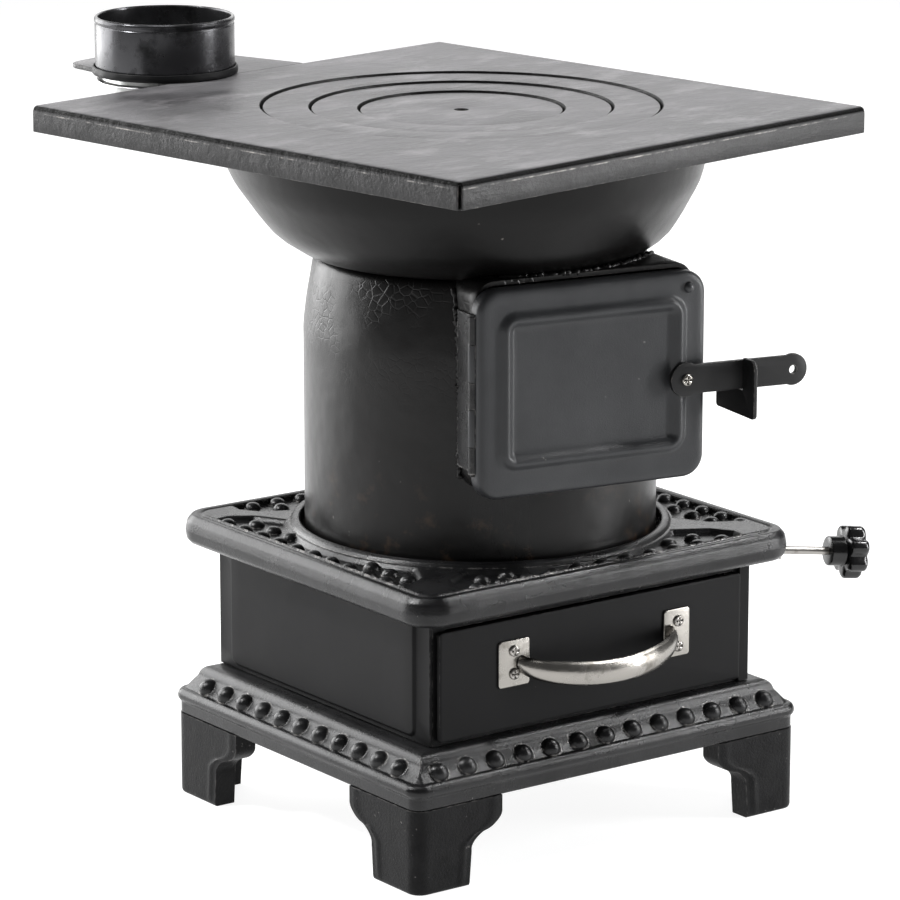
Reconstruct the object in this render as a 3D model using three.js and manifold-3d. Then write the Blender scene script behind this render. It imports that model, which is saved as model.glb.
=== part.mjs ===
// A small potbelly stove: a round drum on a cast plate and ash box, a bowl above it that
// opens out under a square cooking top with lift-out rings, and a short flue collar behind.
// Millimetres, +Z up, the fire door towards -Y.
import * as THREE from "three";
import { mergeVertices } from "three/addons/utils/BufferGeometryUtils.js";
import Module from "manifold-3d";

const wasm = await Module();
wasm.setup();

// ---- Clearances ----
const touch = 0.3; // between pieces that rest on or are fixed to each other
const running = 0.4; // between a piece that moves and its guide

// ---- Heights, from the floor up ----
const footHeight = 64.5;
const baseHeight = 37.5; // beaded base casting, to the ledge that carries the ash box
const boxHeight = 98.2; // ash box that shows, from the ledge to the rim of the top casting
const rimHeight = 22.3; // rim of the top casting
const drumHeight = 225.5;
const bowlHeight = 99;
const topThickness = 4;
const topSkirt = 20; // turned-down edge of the cooking top
const collarHeight = 45;

// ---- Plan sizes ----
const drumRadius = 134;
const castingX = [-drumRadius - 43, drumRadius + 43]; // top casting, round the drum's axis
const castingY = [-drumRadius - 35.3, drumRadius + 25];
const boxX = [castingX[0] + 25.5, castingX[1] - 25.5];
const boxY = [castingY[0] + 29.8, castingY[1] - 23.5];
const baseX = [castingX[0] - 3.2, castingX[1] + 3.2];
const baseY = [castingY[0] + 4.3, castingY[1] - 5.6];
const topX = [-230, 204.6]; // cooking top, from the centre of its rings
const topY = [-223.2, 225.5];
const drumWall = 3;
const bowlRadius = 187.5; // outside, right under the cooking top
const bowlWall = 3;
const neckRadius = drumRadius - 13; // where the bowl meets the drum
const collarRadius = 54.5;
const collarWall = 3;

// ---- How far the upper works are turned on the drum, as the photograph shows them ----
const topTurn = THREE.MathUtils.degToRad(9.22);
const topShift = new THREE.Vector2(-11.7, 8.6);
const bowlShiftShare = 0.384; // share of that shift already reached at the foot of the bowl
const doorTurn = THREE.MathUtils.degToRad(-9.8);

// ---- Levels that follow ----
const ledgeLevel = footHeight + baseHeight;
const rimLevel = ledgeLevel + boxHeight;
const castingTop = rimLevel + rimHeight;
const bowlFoot = rimLevel + 7.4 + drumHeight;
const bowlTop = bowlFoot + bowlHeight;
const ringLipDepth = 7.1; // the lip that carries the next ring, below the plate's face
const cookTop = bowlTop + touch + topThickness + ringLipDepth - 0.3;

// ---- Facets ----
const aroundLarge = 32;
const aroundSmall = 24;
const aroundScrew = 8;
const cornerSteps = 3;

const look = (color, roughness, metalness) =>
  new THREE.MeshStandardMaterial({ color, roughness, metalness, flatShading: true });
const castIron = look(0x35353a, 0.42, 0.55);
const blackSheet = look(0x38373a, 0.6, 0.3);
const graphiteSheet = look(0x4a4b4f, 0.45, 0.6);
const bluedSteel = look(0x8e8d90, 0.35, 0.85);
const brightSheet = look(0xb9b9b6, 0.35, 0.9);
const nickelled = look(0xd8d6d2, 0.25, 0.95);
const bareSteel = look(0x9a9896, 0.35, 0.9);
const blackPlastic = look(0x17171a, 0.25, 0.0);
const roughIron = look(0x4a4542, 0.8, 0.4);

// ---- Solids ----

// A closed three.js geometry as a solid, whichever way its faces were wound.
function solid(geometry) {
  const bare = new THREE.BufferGeometry();
  const open = geometry.index ? geometry.toNonIndexed() : geometry;
  bare.setAttribute("position", open.getAttribute("position"));
  const merged = mergeVertices(bare, 1e-4);
  const triVerts = new Uint32Array(merged.index.array);
  const vertProperties = merged.attributes.position.array;
  const first = new wasm.Manifold(new wasm.Mesh({ numProp: 3, vertProperties, triVerts }));
  if (first.volume() > 0) return first;
  for (let i = 0; i < triVerts.length; i += 3) {
    [triVerts[i + 1], triVerts[i + 2]] = [triVerts[i + 2], triVerts[i + 1]];
  }
  return new wasm.Manifold(new wasm.Mesh({ numProp: 3, vertProperties, triVerts }));
}

const join = (...solids) => solids.reduce((sum, next) => sum.add(next));
const cut = (body, ...tools) => tools.reduce((rest, tool) => rest.subtract(tool), body);

// Puts one finished solid into the scene graph as a named mesh.
function addPiece(group, name, body, material) {
  const { vertProperties, triVerts } = body.getMesh();
  const geometry = new THREE.BufferGeometry();
  geometry.setAttribute("position", new THREE.BufferAttribute(vertProperties, 3));
  geometry.setIndex(new THREE.BufferAttribute(triVerts, 1));
  geometry.computeVertexNormals();
  const mesh = new THREE.Mesh(geometry, material);
  mesh.name = name;
  group.add(mesh);
  return mesh;
}

function block(x, y, z) {
  const geometry = new THREE.BoxGeometry(x[1] - x[0], y[1] - y[0], z[1] - z[0]);
  return solid(geometry.translate((x[0] + x[1]) / 2, (y[0] + y[1]) / 2, (z[0] + z[1]) / 2));
}

// An upright cylinder between two levels.
function post(radius, z, sides = aroundSmall, x = 0, y = 0) {
  const geometry = new THREE.CylinderGeometry(radius, radius, z[1] - z[0], sides);
  return solid(geometry.rotateX(Math.PI / 2).translate(x, y, (z[0] + z[1]) / 2));
}

// A cylinder lying along X between two places.
function bar(radius, x, sides = aroundSmall, y = 0, z = 0) {
  const geometry = new THREE.CylinderGeometry(radius, radius, x[1] - x[0], sides);
  return solid(geometry.rotateZ(-Math.PI / 2).translate((x[0] + x[1]) / 2, y, z));
}

// A profile of [radius, level] points turned about Z; it closes on itself or starts and ends on the axis.
function turnedGeometry(profile, sides = aroundLarge) {
  const points = profile.map(([radius, level]) => new THREE.Vector2(radius, level));
  const onAxis = profile[0][0] === 0 && profile[profile.length - 1][0] === 0;
  if (!onAxis) points.push(points[0].clone());
  return new THREE.LatheGeometry(points, sides).rotateX(Math.PI / 2);
}
const turned = (profile, sides) => solid(turnedGeometry(profile, sides));

// A closed skin through rings of equally many points, capped at both ends or joined end to end.
function skin(rings, joined = false) {
  const around = rings[0].length;
  const points = rings.flat();
  const faces = [];
  const spans = joined ? rings.length : rings.length - 1;
  for (let i = 0; i < spans; i += 1) {
    for (let j = 0; j < around; j += 1) {
      const here = i * around;
      const there = ((i + 1) % rings.length) * around;
      const next = (j + 1) % around;
      faces.push(here + j, here + next, there + next, here + j, there + next, there + j);
    }
  }
  if (!joined) {
    for (const [ring, first, turn] of [[0, 1, 0], [rings.length - 1, 0, 1]]) {
      const middle = points.length;
      const total = rings[ring].reduce((sum, p) => sum.add(p), new THREE.Vector3());
      points.push(total.divideScalar(around));
      for (let j = 0; j < around; j += 1) {
        const start = ring * around;
        faces.push(middle, start + ((j + first) % around), start + ((j + turn) % around));
      }
    }
  }
  return new THREE.BufferGeometry().setFromPoints(points).setIndex(faces);
}

// The ring of a rounded rectangle, taken in by inset, at one level.
function roundedRing(outline, inset, level) {
  const { x, y, radius } = outline;
  const r = Math.max(radius - inset, 0.6);
  const reach = inset + r;
  const corners = [
    [x[1] - reach, y[1] - reach],
    [x[0] + reach, y[1] - reach],
    [x[0] + reach, y[0] + reach],
    [x[1] - reach, y[0] + reach],
  ];
  return corners.flatMap(([cx, cy], quarter) =>
    Array.from({ length: cornerSteps + 1 }, (_, i) => {
      const angle = ((quarter + i / cornerSteps) * Math.PI) / 2;
      return new THREE.Vector3(cx + r * Math.cos(angle), cy + r * Math.sin(angle), level);
    }),
  );
}

// A plate or frame whose edge follows [inset, level] pairs round a rounded rectangle.
const moulded = (outline, profile, joined = false) =>
  solid(skin(profile.map(([inset, level]) => roundedRing(outline, inset, level)), joined));

// A flat outline of [x, y] corners between two levels.
function slab(corners, z) {
  const shape = new THREE.Shape(corners.map(([x, y]) => new THREE.Vector2(x, y)));
  const settings = { depth: z[1] - z[0], bevelEnabled: false };
  return solid(new THREE.ExtrudeGeometry(shape, settings).translate(0, 0, z[0]));
}

// Turns a solid by a matrix: used to stand flat-drawn plates upright and to lean the bowl.
const moved = (body, matrix) => body.transform(matrix.elements);
const about = (angle) => new THREE.Matrix4().makeRotationZ(angle);
const shift = (x, y, z = 0) => new THREE.Matrix4().makeTranslation(x, y, z);
// A drawing's x, y and depth become x, z and -y.
const uprightFront = new THREE.Matrix4().makeRotationX(Math.PI / 2);
const uprightSide = new THREE.Matrix4().makeBasis(
  new THREE.Vector3(0, 1, 0),
  new THREE.Vector3(0, 0, 1),
  new THREE.Vector3(1, 0, 0),
);

const stove = new THREE.Group();
const hearth = new THREE.Group();
stove.add(hearth);

// ---- Base casting with its beaded band ----
const skirtWall = 5;
const ledgeWidth = 46; // from the skirt's face to the inside of the ledge
const bandInset = [2.5, 14];
const bandLevel = [footHeight + 20, footHeight + 32];
const baseOutline = { x: baseX, y: baseY, radius: 11 };
const baseBead = { radius: 7.6, rise: 5.6 };
const frontBand = { count: 13, margin: 53 }; // beads of the front and back, and length left free
const sideBand = { count: 11, margin: 66 };

// One cast bead: a low dome on a surface whose outward direction is given.
function bead({ radius, rise }, place, outward = new THREE.Vector3(0, 0, 1)) {
  const dome = turned([[0, -1], [radius, -1], [radius * 0.72, rise * 0.72], [0, rise]], 6);
  const lift = new THREE.Quaternion().setFromUnitVectors(new THREE.Vector3(0, 0, 1), outward);
  return moved(dome, new THREE.Matrix4().compose(place, lift, new THREE.Vector3(1, 1, 1)));
}

// A row of beads along one side of the sloped band, drawn along the front and turned to its side.
function bandBeads({ count, margin }, length, distance, turn) {
  const inset = (bandInset[0] + bandInset[1]) / 2;
  const level = (bandLevel[0] + bandLevel[1]) / 2;
  const slope = new THREE.Vector3(0, bandLevel[0] - bandLevel[1], bandInset[1] - bandInset[0]);
  const outward = slope.normalize();
  const pitch = (length - margin) / (count - 1);
  return Array.from({ length: count }, (_, i) => {
    const place = new THREE.Vector3((i - (count - 1) / 2) * pitch, inset - distance, level);
    return moved(bead(baseBead, place, outward), turn);
  });
}

function baseCasting() {
  const top = ledgeLevel;
  const profile = [
    [0, footHeight],
    [0, footHeight + 11.5],
    [-1.2, footHeight + 13.5],
    [-1.2, footHeight + 16.5],
    [bandInset[0], bandLevel[0]],
    [bandInset[1], bandLevel[1]],
    [16, top - 3],
    [18.5, top - 1.4],
    [22, top],
    [ledgeWidth, top],
    [ledgeWidth, top - skirtWall],
    [22, top - skirtWall - 0.5],
    [bandInset[1] + 2, bandLevel[1] - skirtWall],
    [skirtWall + 2, bandLevel[0] - 3],
    [skirtWall, footHeight + 12],
    [skirtWall, footHeight],
  ];
  const length = baseX[1] - baseX[0];
  const depth = baseY[1] - baseY[0];
  const middle = shift((baseX[0] + baseX[1]) / 2, (baseY[0] + baseY[1]) / 2);
  const side = (turn) => middle.clone().multiply(about(turn));
  const holes = tieX.flatMap((x) =>
    tieY.map((y) => post(tieRadius + touch, [top - skirtWall - 2, top + 1], aroundScrew, x, y)),
  );
  const casting = join(
    moulded(baseOutline, profile, true),
    ...bandBeads(frontBand, length, depth / 2, side(0)),
    ...bandBeads(frontBand, length, depth / 2, side(Math.PI)),
    ...bandBeads(sideBand, depth, length / 2, side(Math.PI / 2)),
    ...bandBeads(sideBand, depth, length / 2, side(-Math.PI / 2)),
  );
  return cut(casting, ...holes);
}

// ---- Tie bolts: each foot, the base ledge and the top casting are drawn together by one ----
const tieRadius = 3;
const tieHead = { radius: 5.6, height: 5, sides: 6 };
const tieInset = [12, 11]; // from the ash box's outside, along X and Y
const tieX = [boxX[0] + tieInset[0], boxX[1] - tieInset[0]];
const tieY = [boxY[0] + tieInset[1], boxY[1] - tieInset[1]];
const webLevel = footHeight - 9; // a web inside the foot that the bolt's head draws up
const webThickness = 5;
const pillarRadius = 6;
const webMargin = 9; // web beyond the middle of its bolt
const ceiling = rimLevel + 13.3; // underside of the top casting

function tieBolt(x, y) {
  const under = webLevel - touch;
  const head = post(tieHead.radius, [under - tieHead.height, under], tieHead.sides, x, y);
  return join(head, post(tieRadius, [under - 1, ceiling - touch], aroundScrew, x, y));
}

// ---- Feet: cast corner brackets with an ogee edge on both faces ----
const footWall = 18;
const footWidthX = [78, 48]; // at the skirt and at the floor
const footWidthY = [84, 54];

// Half outline of a foot face, from its corner: straight at the top, an ogee, then a slight taper.
function footFace([wide, narrow]) {
  const height = footHeight - touch;
  const ogee = [];
  const steps = 6;
  for (let i = 0; i <= steps; i += 1) {
    const share = i / steps;
    const ease = share * share * (3 - 2 * share);
    ogee.push([wide - (wide - narrow - 2) * ease, height - 12 - 24 * share]);
  }
  return [[-1, 0], [narrow, 0], ...ogee.reverse(), [wide, height], [-1, height]];
}

function foot(sideX, sideY) {
  const [x0, x1] = sideX < 0 ? [baseX[0], -1] : [baseX[1], 1];
  const [y0, y1] = sideY < 0 ? [baseY[0], -1] : [baseY[1], 1];
  const inwardX = -x1;
  const inwardY = -y1;
  const tie = [sideX < 0 ? tieX[0] : tieX[1], sideY < 0 ? tieY[0] : tieY[1]];
  const strip = Math.max(baseOutline.radius, footWall) + 0.5;
  const top = footHeight - touch;
  const shell = moulded(baseOutline, [[0, 0], [0, top], [footWall, top], [footWall, 0]], true);
  const span = (origin, inward, low, high) =>
    [origin + inward * low, origin + inward * high].sort((a, b) => a - b);
  const faceX = moved(
    slab(footFace(footWidthX).map(([u, z]) => [x0 + inwardX * u, z]), [0, strip]),
    uprightFront,
  );
  const faceY = moved(
    slab(footFace(footWidthY).map(([u, z]) => [y0 + inwardY * u, z]), [0, strip]),
    uprightSide,
  );
  const placedX = moved(faceX, shift(0, inwardY > 0 ? y0 + strip : y0));
  const placedY = moved(faceY, shift(inwardX > 0 ? x0 : x0 - strip, 0));
  const web = block(
    span(x0, inwardX, footWall - 1, Math.abs(tie[0] - x0) + webMargin),
    span(y0, inwardY, footWall - 1, Math.abs(tie[1] - y0) + webMargin),
    [webLevel, webLevel + webThickness],
  );
  const pillarTop = ledgeLevel - skirtWall - 0.5 - touch;
  const pillar = post(pillarRadius, [webLevel + 1, pillarTop], aroundSmall / 2, ...tie);
  const hole = post(tieRadius + touch, [0, ledgeLevel], aroundScrew, ...tie);
  return cut(join(shell.intersect(join(placedX, placedY)), web, pillar), hole);
}

// ---- Top casting: rolled rim, sunk beaded panels and the raised ring round the drum ----
const castingOutline = { x: castingX, y: castingY, radius: 26 };
const ringHole = drumRadius + 3.7;
const ringOuter = drumRadius + 11;
const ringRoot = ringOuter + 0.7; // where the ring grows out of the casting's underside
const seatWidth = 11.5; // ledge inside the ring that the drum stands on
const seatLevel = rimLevel + 7.1;
const seatDepth = 4.3;
const ringRise = 3.8; // of the ring above the rim
const panelSink = 4;
const panelRim = 12; // from the rim's nose to the edge of a sunk panel
const panelBead = { radius: 6.3, rise: 5 };
const beadPitch = 23;
const rowDepth = 15.5; // from the row along the rim to the shorter one behind it
const boss = { radius: 6.8, depth: 10 }; // under the plate, round each tie bolt

function topCasting() {
  const plateProfile = [
    [4.1, rimLevel],
    [1, rimLevel + 3.5],
    [0, rimLevel + 10],
    [1.4, rimLevel + 17.5],
    [5.5, rimLevel + rimHeight],
    [9.5, rimLevel + rimHeight - 0.3],
    [12.5, rimLevel + rimHeight - 2],
    [14, castingTop],
  ];
  const plate = moulded(castingOutline, plateProfile);
  const pocket = moulded(castingOutline, [[9.5, rimLevel - 1], [9.5, ceiling]]);
  const ring = turned([
    [ringHole - seatWidth, seatLevel - seatDepth],
    [ringHole + 5, seatLevel - seatDepth],
    [ringRoot, ceiling],
    [ringOuter, ceiling + 1],
    [ringOuter, castingTop],
    [ringOuter - 2.5, castingTop + ringRise - 1.5],
    [ringOuter - 5.5, castingTop + ringRise],
    [ringHole + 1.8, castingTop + ringRise],
    [ringHole, castingTop + ringRise - 1.4],
    [ringHole, seatLevel],
    [ringHole - seatWidth, seatLevel],
  ]);
  const bore = post(ringHole + 2, [rimLevel - 1, castingTop + 9], aroundLarge);
  const bosses = tieX.flatMap((x) =>
    tieY.map((y) => post(boss.radius, [ceiling - boss.depth, ceiling + 1], aroundSmall / 2, x, y)),
  );
  const holes = tieX.flatMap((x) =>
    tieY.map((y) => post(tieRadius + touch, [ceiling - boss.depth - 1, ceiling], aroundScrew, x, y)),
  );
  const plain = cut(plate, pocket, bore, ...sunkFields());
  return cut(join(plain, ring, ...bosses, ...panelBeads()), ...holes, rodTunnel());
}

// The sunk field of one side, drawn along +Y: a straight outer edge, an inner edge that follows the
// ring, and an ogee at each end where a raised web runs from the ring to the corner.
function sunkField(halfLength, distance) {
  const edge = distance - panelRim;
  const inner = ringOuter + 1.5;
  const end = [[halfLength, edge], [halfLength + 2, edge - 14], [halfLength - 8, edge - 31]];
  const lastAngle = Math.atan2(halfLength - 30, edge - 40);
  const steps = 10;
  const arc = Array.from({ length: steps + 1 }, (_, i) => {
    const angle = lastAngle * (1 - (2 * i) / steps);
    return [inner * Math.sin(angle), Math.min(inner * Math.cos(angle), edge - 3)];
  });
  const mirrored = end.map(([x, y]) => [-x, y]).reverse();
  return slab([...end, ...arc, ...mirrored], [castingTop - panelSink, castingTop + 2]);
}

// Beads of one panel: a full row along the rim, and shorter rows behind it where the panel widens.
function fieldBeads(distance, aside) {
  const level = castingTop - panelSink;
  const row = distance - panelRim - panelBead.radius - 0.5;
  const places = [];
  for (let i = -5; i <= 5; i += 1) places.push([aside + i * beadPitch, row]);
  for (const side of [-1, 1]) {
    for (let i = 2.3; i < 5; i += 1) places.push([aside + side * i * beadPitch, row - rowDepth]);
  }
  return places
    .filter(([x, y]) => Math.hypot(x, y) > ringOuter + panelBead.radius - 1.5)
    .map(([x, y]) => bead(panelBead, new THREE.Vector3(x, y, level)));
}

const fieldEnd = 46; // from the casting's corner to the end of a sunk field
const sides = [
  { turn: 0, distance: castingY[1], length: castingX[1] - castingX[0], aside: 0 },
  { turn: Math.PI, distance: -castingY[0], length: castingX[1] - castingX[0], aside: 0 },
  { turn: -Math.PI / 2, distance: castingX[1], length: castingY[1] - castingY[0], aside: 5 },
  { turn: Math.PI / 2, distance: -castingX[0], length: castingY[1] - castingY[0], aside: -5 },
];
const sunkFields = () =>
  sides.map(({ turn, distance, length }) => moved(sunkField(length / 2 - fieldEnd, distance), about(turn)));
const panelBeads = () =>
  sides.flatMap(({ turn, distance, aside }) =>
    fieldBeads(distance, aside).map((dome) => moved(dome, about(turn))),
  );

// ---- Shaker rod: where it leaves the box, and the way it points ----
const rodRadius = 3.2;
const rodWall = new THREE.Vector3(boxX[1], boxY[0] + 44.5, ledgeLevel + 92.9);
const rodSide = THREE.MathUtils.degToRad(17.8); // towards the front
const rodDroop = THREE.MathUtils.degToRad(5.8);
const rodWay = new THREE.Vector3(
  Math.cos(rodDroop) * Math.cos(rodSide),
  -Math.cos(rodDroop) * Math.sin(rodSide),
  -Math.sin(rodDroop),
);
const rodAcross = new THREE.Vector3(Math.sin(rodSide), Math.cos(rodSide), 0);
const rodFrame = new THREE.Matrix4()
  .makeBasis(rodWay, rodAcross, new THREE.Vector3().crossVectors(rodWay, rodAcross))
  .setPosition(rodWall);
const shakerStroke = 20;
const plan = new THREE.Vector2(rodWay.x, rodWay.y).normalize();
// Plan distance along the rod to the point nearest the drum's axis.
const footAlong = -(rodWall.x * plan.x + rodWall.y * plan.y);
const pinAlong = (footAlong + shakerStroke / 2) / Math.cos(rodDroop);
const pinPlace = new THREE.Vector3(pinAlong, 0, 0).applyMatrix4(rodFrame);
const pinRadius = 4;

const tunnelGap = 1.8; // room round the rod where it passes the casting
const rodTunnel = () => moved(bar(rodRadius + tunnelGap, [pinAlong, -4], aroundSmall / 2), rodFrame);

// ---- Ash box: two side sheets with a raised panel, back, front frame and floor ----
const sheet = 2.5;
const panelProud = 2; // how far a side's raised panel stands out of its sheet
const panelMargin = 17.5; // flat strip at each end of the panel
const frontFace = boxY[0] - 5.5; // face of the ash drawer
const drawerX = [boxX[0] + 7, boxX[1] - 12.5];
const drawerZ = [ledgeLevel + 3.5, ledgeLevel + 87];
const mouthX = [boxX[0] + 15.5, boxX[1] - 15.5]; // opening in the front frame
const mouthZ = [ledgeLevel + 3, ledgeLevel + 87.5];

const sheetFoot = ledgeLevel + touch;
const sheetHead = ceiling - touch;

function boxSide(side) {
  const outer = side < 0 ? boxX[0] : -boxX[1];
  const skinX = [outer + panelProud, outer + panelProud + sheet];
  const panelY = [boxY[0] + panelMargin, boxY[1] - panelMargin];
  const raised = moulded(
    { x: panelY, y: [ledgeLevel + 4, rimLevel - 4], radius: 6 },
    [[0, 0], [1.5, panelProud + 0.5]],
  );
  const pressed = moved(raised, uprightSide);
  const outwards = shift(outer + panelProud + 0.5, 0).scale(new THREE.Vector3(-1, 1, 1));
  let body = join(block(skinX, boxY, [sheetFoot, sheetHead]), moved(pressed, outwards));
  if (side > 0) {
    body = moved(body, new THREE.Matrix4().makeScale(-1, 1, 1));
    const jambX = [drawerX[1] + 0.6, boxX[1] - panelProud - 0.2];
    const turnedIn = block(jambX, [boxY[0] - 3, boxY[0] + 0.2], [sheetFoot, rimLevel + 6]);
    body = join(body, turnedIn);
    const hole = moved(bar(rodRadius + running, [-20, 20], aroundSmall / 2), rodFrame);
    body = cut(body, hole);
  }
  return body;
}

// The back and the front frame stop under the ring that the drum stands in.
const underRing = () => post(ringRoot + touch, [seatLevel - seatDepth - touch, castingTop], aroundLarge);
const insideX = [boxX[0] + panelProud + sheet, boxX[1] - panelProud - sheet];
const boxBack = () =>
  cut(
    block([insideX[0] + touch, insideX[1] - touch], [boxY[1] - sheet, boxY[1]], [sheetFoot, sheetHead]),
    underRing(),
  );

function frontFrame() {
  const y = [boxY[0] + touch, boxY[0] + touch + sheet];
  const plate = block([insideX[0] + touch, insideX[1] - touch], y, [sheetFoot, sheetHead]);
  return cut(plate, block(mouthX, [y[0] - 1, y[1] + 1], mouthZ), underRing());
}

const floorZ = [ledgeLevel + touch, ledgeLevel + touch + 2];
function floorTray() {
  const plate = block(
    [insideX[0] + touch, insideX[1] - touch],
    [boxY[0] + sheet + 2 * touch, boxY[1] - sheet - touch],
    floorZ,
  );
  const holes = tieX.flatMap((x) =>
    tieY.map((y) => post(tieRadius + touch, [floorZ[0] - 1, floorZ[1] + 1], aroundScrew, x, y)),
  );
  return cut(plate, ...holes);
}

// ---- Ash drawer ----
const panX = [mouthX[0] + 4, mouthX[1] - 4];
const panBack = 21.7; // room left behind the pan
const panZ = [floorZ[1] + 1.8, mouthZ[1] - 4];
const frontThickness = 4;
const panWall = 1.6;
const panFront = frontFace + frontThickness + touch;
const panY = [panFront, boxY[1] - sheet - panBack];

const runnerHalf = 4;
const runner = (x) =>
  block(
    [x - runnerHalf, x + runnerHalf],
    [boxY[0] + sheet + 3, panY[1]],
    [floorZ[1] + touch, panZ[0] - touch],
  );

function ashPan() {
  const hollow = block(
    [panX[0] + panWall, panX[1] - panWall],
    [panY[0] + panWall, panY[1] - panWall],
    [panZ[0] + panWall, panZ[1] + 1],
  );
  return cut(block(panX, panY, panZ), hollow);
}

function drawerFront() {
  const outline = { x: drawerX, y: drawerZ, radius: 4 };
  const plate = moulded(outline, [[0, 0], [0, frontThickness - 1.6], [1.6, frontThickness]]);
  return moved(plate, shift(0, frontFace + frontThickness).multiply(uprightFront));
}

// ---- Drawer handle: a pressed strap, two drilled plates with a half-round bow between them ----
const handleSheet = 1.5;
const handleFace = frontFace - touch;
const handlePlates = [
  { x: [-91.8, -63.5], z: [ledgeLevel + 36, ledgeLevel + 71.7] },
  { x: [63.2, 87.7], z: [ledgeLevel + 32.3, ledgeLevel + 69.8] },
];
const bowReach = 31; // how far the bow stands off the drawer
const bowWidth = 17;
const bowDroop = 6;
const bowCrown = 4.2; // how far the strap is pressed up along its middle
const bowSheet = 2.2;

// A half-round strap: it swells away from the drawer between the plates and droops a little.
function handleBow() {
  const [left, right] = handlePlates;
  const ends = [left.x[1] - 7, right.x[0] + 5];
  const levels = [(left.z[0] + left.z[1]) / 2 - 1.5, (right.z[0] + right.z[1]) / 2 + 0.5];
  const fullness = 0.62; // under 1 makes the bow leave its plates steeply
  const steps = 10;
  const arcSteps = 4;
  const rings = [];
  for (let i = 0; i <= steps; i += 1) {
    const share = i / steps;
    const swell = Math.sin(Math.PI * share) ** fullness;
    const x = ends[0] + (ends[1] - ends[0]) * share;
    const y = handleFace - handleSheet * 0.4 - (bowReach - handleSheet) * swell;
    const z = levels[0] + (levels[1] - levels[0]) * share - bowDroop * swell;
    const slope = Math.PI * Math.cos(Math.PI * share) * fullness * Math.max(swell, 0.35) ** -0.6;
    const normal = new THREE.Vector2((-slope * bowReach) / (ends[1] - ends[0]), 1).normalize();
    const ring = [];
    const place = (across, crown) =>
      ring.push(
        new THREE.Vector3(x + normal.x * crown, y - normal.y * crown, z + (across * bowWidth) / 2),
      );
    for (let k = 0; k <= arcSteps; k += 1) {
      const across = -1 + (2 * k) / arcSteps;
      place(across, bowCrown * (1 - across * across));
    }
    for (let k = arcSteps; k >= 0; k -= 1) {
      const across = 0.86 * (-1 + (2 * k) / arcSteps);
      place(across, bowCrown * (1 - across * across) - bowSheet);
    }
    rings.push(ring);
  }
  return solid(skin(rings));
}

const screwPlaces = [
  [-78.1, ledgeLevel + 63.5],
  [-78.1, ledgeLevel + 45.9],
  [76.4, ledgeLevel + 60.3],
  [76.4, ledgeLevel + 40.6],
];
const handleScrew = { head: 4.4, headHeight: 2, shank: 1.9, length: 9 };

function drawerHandle() {
  const plates = handlePlates.map(({ x, z }) =>
    moved(
      moulded({ x, y: z, radius: 2.5 }, [[0, 0], [0, handleSheet * 0.5], [0.6, handleSheet]]),
      shift(0, handleFace).multiply(uprightFront),
    ),
  );
  const holes = screwPlaces.map(([x, z]) => screwHole(x, z, handleScrew.shank + touch));
  const behind = block([-200, 200], [handleFace, 0], [0, bowlTop]);
  return cut(join(...plates, handleBow()), behind, ...holes);
}

const screwHole = (x, z, radius) =>
  moved(
    post(radius, [-handleScrew.length - 2, 4], aroundScrew),
    shift(x, handleFace, z).multiply(uprightFront),
  );

function screwAt(x, z) {
  const { head, headHeight, shank, length } = handleScrew;
  const body = turned(
    [
      [0, handleSheet + touch + headHeight],
      [head * 0.6, handleSheet + touch + headHeight * 0.85],
      [head, handleSheet + touch + headHeight * 0.3],
      [head, handleSheet + touch],
      [shank, handleSheet + touch],
      [shank, handleSheet - length],
      [0, handleSheet - length],
    ],
    aroundScrew,
  );
  return moved(body, shift(x, handleFace, z).multiply(uprightFront));
}

// ---- Drum, fire pot ring and riddling grate ----
const shoulderHeight = 58.8; // from the crown down to where the side is straight
const shoulderStart = drumHeight - shoulderHeight;
function drumProfile(inset, steps = 4) {
  const foot = seatLevel + touch;
  const points = [[drumRadius - inset, foot]];
  for (let i = 0; i <= steps; i += 1) {
    const share = i / steps;
    points.push([drumRadius - inset - 6.5 * share ** 1.3, foot + shoulderStart + 49 * share]);
  }
  return points;
}

function drumGeometry() {
  const crown = seatLevel + touch + drumHeight;
  const outside = [
    ...drumProfile(0),
    [neckRadius + 5, crown - 4.6],
    [neckRadius + 2.6, crown - 1.4],
    [neckRadius - 1, crown - touch],
  ];
  const inside = [
    ...drumProfile(drumWall, 2),
    [neckRadius + 1.6, crown - 5.4],
    [neckRadius - 2, crown - 3.3],
  ];
  return turnedGeometry([...outside, ...inside.reverse()]);
}

function drumCore(clearance) {
  const crown = seatLevel + touch + drumHeight;
  const side = drumProfile(-clearance);
  return turned([
    [0, side[0][1] - 1],
    [side[0][0], side[0][1] - 1],
    ...side,
    [neckRadius + 5 + clearance, crown - 4],
    [neckRadius + 2.6 + clearance, crown + clearance],
    [0, crown + clearance],
  ]);
}

const potWall = 3.8;
const potOuter = drumRadius - drumWall - running;
const potFlange = [97, seatLevel + 16.7, seatLevel + 22.3]; // bore, underside and face of the grate's seat
const grateThickness = 7;
const grateLevel = potFlange[2] + touch;

const firePotRing = () =>
  turned([
    [potOuter - potWall, seatLevel + touch],
    [potOuter, seatLevel + touch],
    [potOuter, seatLevel + 38],
    [potOuter - potWall, seatLevel + 38],
    [potOuter - potWall, potFlange[2]],
    [potFlange[0], potFlange[2]],
    [potFlange[0], potFlange[1]],
    [potOuter - potWall, potFlange[1]],
  ]);

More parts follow.
